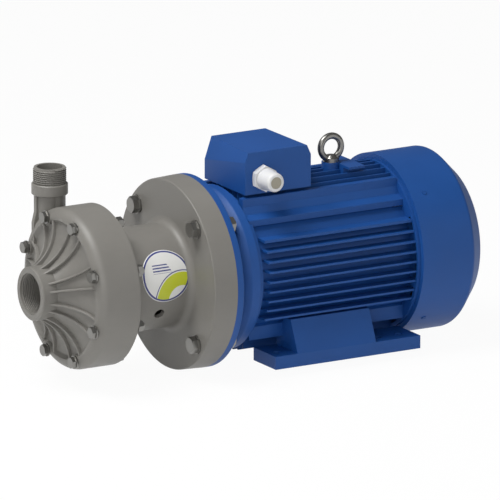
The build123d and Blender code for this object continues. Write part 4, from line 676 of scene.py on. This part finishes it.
def set_camera(scene, studio):
    """A far camera with a long lens, which sees the pump almost without perspective."""
    right = Vector(VIEW_RIGHT).normalized()
    up = Vector(VIEW_UP).normalized()
    back = right.cross(up)
    target = Vector((FACE_X, 0.0, AXIS_Z)) + VIEW_SHIFT[0] * right + VIEW_SHIFT[1] * up
    camera = bpy.data.cameras.new("camera")
    camera.lens = studio.lens
    camera.sensor_width = SENSOR_WIDTH
    camera.clip_start = NEAREST_SEEN
    camera.clip_end = FARTHEST_SEEN
    scene.camera = add_object("camera", camera)
    turn = Matrix((right, up, back)).transposed().to_4x4()
    scene.camera.matrix_world = Matrix.Translation(target + back * studio.distance) @ turn


# Settings

class PumpFinishSettings(bpy.types.PropertyGroup):
    """Colours of the pump and motor."""

    plastic: FloatVectorProperty(
        name="Plastic", description="Colour of the moulded pump casing and bracket", subtype="COLOR",
        size=3, min=0.0, max=1.0, default=(0.192, 0.184, 0.168))
    paint: FloatVectorProperty(
        name="Paint", description="Colour of the motor's enamel", subtype="COLOR",
        size=3, min=0.0, max=1.0, default=(0.004, 0.062, 0.262))
    zinc: FloatVectorProperty(
        name="Fasteners", description="Colour of the plated bolts and washers", subtype="COLOR",
        size=3, min=0.0, max=1.0, default=(0.24, 0.24, 0.235))
    nylon: FloatVectorProperty(
        name="Cable gland", description="Colour of the gland's body and nut", subtype="COLOR",
        size=3, min=0.0, max=1.0, default=(0.72, 0.72, 0.72))
    plug: FloatVectorProperty(
        name="Gland plug", description="Colour of the blanking disc in the gland", subtype="COLOR",
        size=3, min=0.0, max=1.0, default=(0.34, 0.315, 0.25))


class PumpThreadSettings(bpy.types.PropertyGroup):
    """Sizes of the two pipe threads."""

    pitch: FloatProperty(
        name="Pitch", description="Distance between neighbouring crests", subtype="DISTANCE", unit="LENGTH",
        default=0.0036)
    depth: FloatProperty(
        name="Depth", description="How far a crest stands from its root", subtype="DISTANCE", unit="LENGTH",
        default=0.0016)
    outer_core: FloatProperty(
        name="Discharge core radius", description="Radius at the root of the discharge spout's thread",
        subtype="DISTANCE", unit="LENGTH", default=DISCHARGE_SPOUT["dims"]["r_mm"] * MM)
    inner_root: FloatProperty(
        name="Suction root radius", description="Radius of the suction port's wall, at the thread's root",
        subtype="DISTANCE", unit="LENGTH", default=SUCTION_PORT["dims"]["r_mm"] * MM)


class PumpLabelSettings(bpy.types.PropertyGroup):
    """Size, place and colours of the round label."""

    diameter: FloatProperty(
        name="Diameter", description="Label's diameter, measured over the tube", subtype="DISTANCE",
        unit="LENGTH", default=0.097)
    along: FloatProperty(
        name="Along the shaft", description="Label's centre, from the face between bracket and motor",
        subtype="DISTANCE", unit="LENGTH", default=-0.099)
    tilt: FloatProperty(
        name="Height round the tube", description="Angle of the label's centre above the tube's side",
        subtype="ANGLE", unit="ROTATION", default=radians(15.0))
    paper: FloatVectorProperty(
        name="Field", description="Colour of the label's field", subtype="COLOR", size=3, min=0.0, max=1.0,
        default=(0.72, 0.72, 0.70))
    ink: FloatVectorProperty(
        name="Ring", description="Colour of the label's ring and bars", subtype="COLOR", size=3, min=0.0,
        max=1.0, default=(0.02, 0.03, 0.19))
    accent: FloatVectorProperty(
        name="Accent", description="Colour of the label's sweeping band", subtype="COLOR", size=3, min=0.0,
        max=1.0, default=(0.50, 0.55, 0.01))


class PumpStudioSettings(bpy.types.PropertyGroup):
    """Floor, light and camera."""

    floor: FloatVectorProperty(
        name="Floor", description="Colour of the floor", subtype="COLOR", size=3, min=0.0, max=1.0,
        default=(0.90, 0.90, 0.90))
    floor_glow: FloatProperty(
        name="Floor whiteness", description="How far the floor is seen as plain white", subtype="FACTOR",
        min=0.0, max=1.0, default=0.95)
    sky: FloatProperty(
        name="Sky", description="Strength of the even light from all sides", min=0.0, default=0.19)
    key: FloatProperty(
        name="Key light", description="Power of the lamp above", subtype="POWER", unit="POWER",
        default=98.0)
    fill: FloatProperty(
        name="Fill light", description="Power of the lamp on the left", subtype="POWER", unit="POWER",
        default=34.0)
    side: FloatProperty(
        name="Side light", description="Power of the lamp on the right", subtype="POWER", unit="POWER",
        default=17.0)
    distance: FloatProperty(
        name="Camera distance", description="How far the camera stands from the pump", subtype="DISTANCE",
        unit="LENGTH", default=24.87)
    lens: FloatProperty(
        name="Lens", description="Focal length of the camera, in millimetres", default=1000.0)


# Operators

class OBJECT_OT_pump_finishes(bpy.types.Operator):
    """Give every solid of the pump and motor its finish"""

    bl_idname = "object.pump_finishes"
    bl_label = "Finishes"

    def execute(self, context):
        settings = context.scene.pump_finish
        for part in RECORD["subparts"]:
            solid = NODES[part["node"]]
            solid.data.materials.clear()
            solid.data.materials.append(finish_for(part["material_slot"], settings))
        return {"FINISHED"}


class OBJECT_OT_pump_threads(bpy.types.Operator):
    """Lay the ridges of the pipe threads on the discharge spout and in the suction port"""

    bl_idname = "object.pump_threads"
    bl_label = "Pipe threads"

    def execute(self, context):
        sizes = context.scene.pump_threads
        plastic = finish_for("pump_plastic", context.scene.pump_finish)
        spout = helical_ridge("discharge_thread", plastic, sizes.outer_core, sizes.pitch, SPOUT_THREAD,
                              sizes.depth, side=1)
        foot = Vector(DISCHARGE_SPOUT["pos_m"]) - Vector((0.0, 0.0, SPOUT_THREAD_BELOW))
        spout.data.transform(Matrix.Translation(foot))
        port = helical_ridge("suction_thread", plastic, sizes.inner_root, sizes.pitch, PORT_THREAD,
                             sizes.depth, side=-1)
        mouth = Vector(SUCTION_PORT["pos_m"]) + Vector((PORT_THREAD_IN, 0.0, 0.0))
        port.data.transform(Matrix.Translation(mouth) @ Matrix.Rotation(pi / 2, 4, "Y"))
        for piece in (spout, port):
            close_up(piece)
            seat_piece(piece, "housing", plastic)
        return {"FINISHED"}


class OBJECT_OT_pump_label(bpy.types.Operator):
    """Stick the round label on the bracket's tube"""

    bl_idname = "object.pump_label"
    bl_label = "Round label"

    def execute(self, context):
        label = context.scene.pump_label
        piece = disc_on_tube("round_label", label)
        piece.modifiers.new("thickness", "SOLIDIFY").thickness = LABEL_THICKNESS
        material = printed_label(tuple(label.paper), tuple(label.ink), tuple(label.accent))
        seat_piece(piece, "housing", material)
        return {"FINISHED"}


class OBJECT_OT_pump_studio(bpy.types.Operator):
    """Build the floor, the light and the camera"""

    bl_idname = "object.pump_studio"
    bl_label = "Studio"

    def execute(self, context):
        scene = context.scene
        studio = scene.pump_studio
        lay_floor(studio)
        light_sky(scene, studio.sky)
        for name, (spot, width) in LAMPS.items():
            hang_lamp(name + "_lamp", spot, width, getattr(studio, name))
        set_camera(scene, studio)
        scene.view_settings.view_transform = "Standard"
        return {"FINISHED"}


class VIEW3D_PT_pump(bpy.types.Panel):
    """Steps and sizes of the pump's looks"""

    bl_idname = "VIEW3D_PT_pump"
    bl_label = "Chemical pump"
    bl_space_type = "VIEW_3D"
    bl_region_type = "UI"
    bl_category = "Pump"

    def draw(self, context):
        for name, step in STEPS:
            box = self.layout.box()
            group = getattr(context.scene, name)
            for key in group.bl_rna.properties.keys():
                if key not in ("rna_type", "name"):
                    box.prop(group, key)
            box.operator(step)


STEPS = (
    ("pump_finish", OBJECT_OT_pump_finishes.bl_idname),
    ("pump_threads", OBJECT_OT_pump_threads.bl_idname),
    ("pump_label", OBJECT_OT_pump_label.bl_idname),
    ("pump_studio", OBJECT_OT_pump_studio.bl_idname),
)
GROUPS = {
    "pump_finish": PumpFinishSettings,
    "pump_threads": PumpThreadSettings,
    "pump_label": PumpLabelSettings,
    "pump_studio": PumpStudioSettings,
}
CLASSES = (
    *GROUPS.values(),
    OBJECT_OT_pump_finishes,
    OBJECT_OT_pump_threads,
    OBJECT_OT_pump_label,
    OBJECT_OT_pump_studio,
    VIEW3D_PT_pump,
)


def register():
    """Adds the classes and the scene's settings."""
    for item in CLASSES:
        bpy.utils.register_class(item)
    for name, group in GROUPS.items():
        setattr(bpy.types.Scene, name, PointerProperty(type=group))


def unregister():
    """Removes what register added."""
    for name in GROUPS:
        delattr(bpy.types.Scene, name)
    for item in reversed(CLASSES):
        bpy.utils.unregister_class(item)


def main():
    """Builds the looks."""
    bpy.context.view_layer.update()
    register()
    bpy.ops.object.pump_finishes()
    bpy.ops.object.pump_threads()
    bpy.ops.object.pump_label()
    bpy.ops.object.pump_studio()


if __name__ == "__main__":
    main()
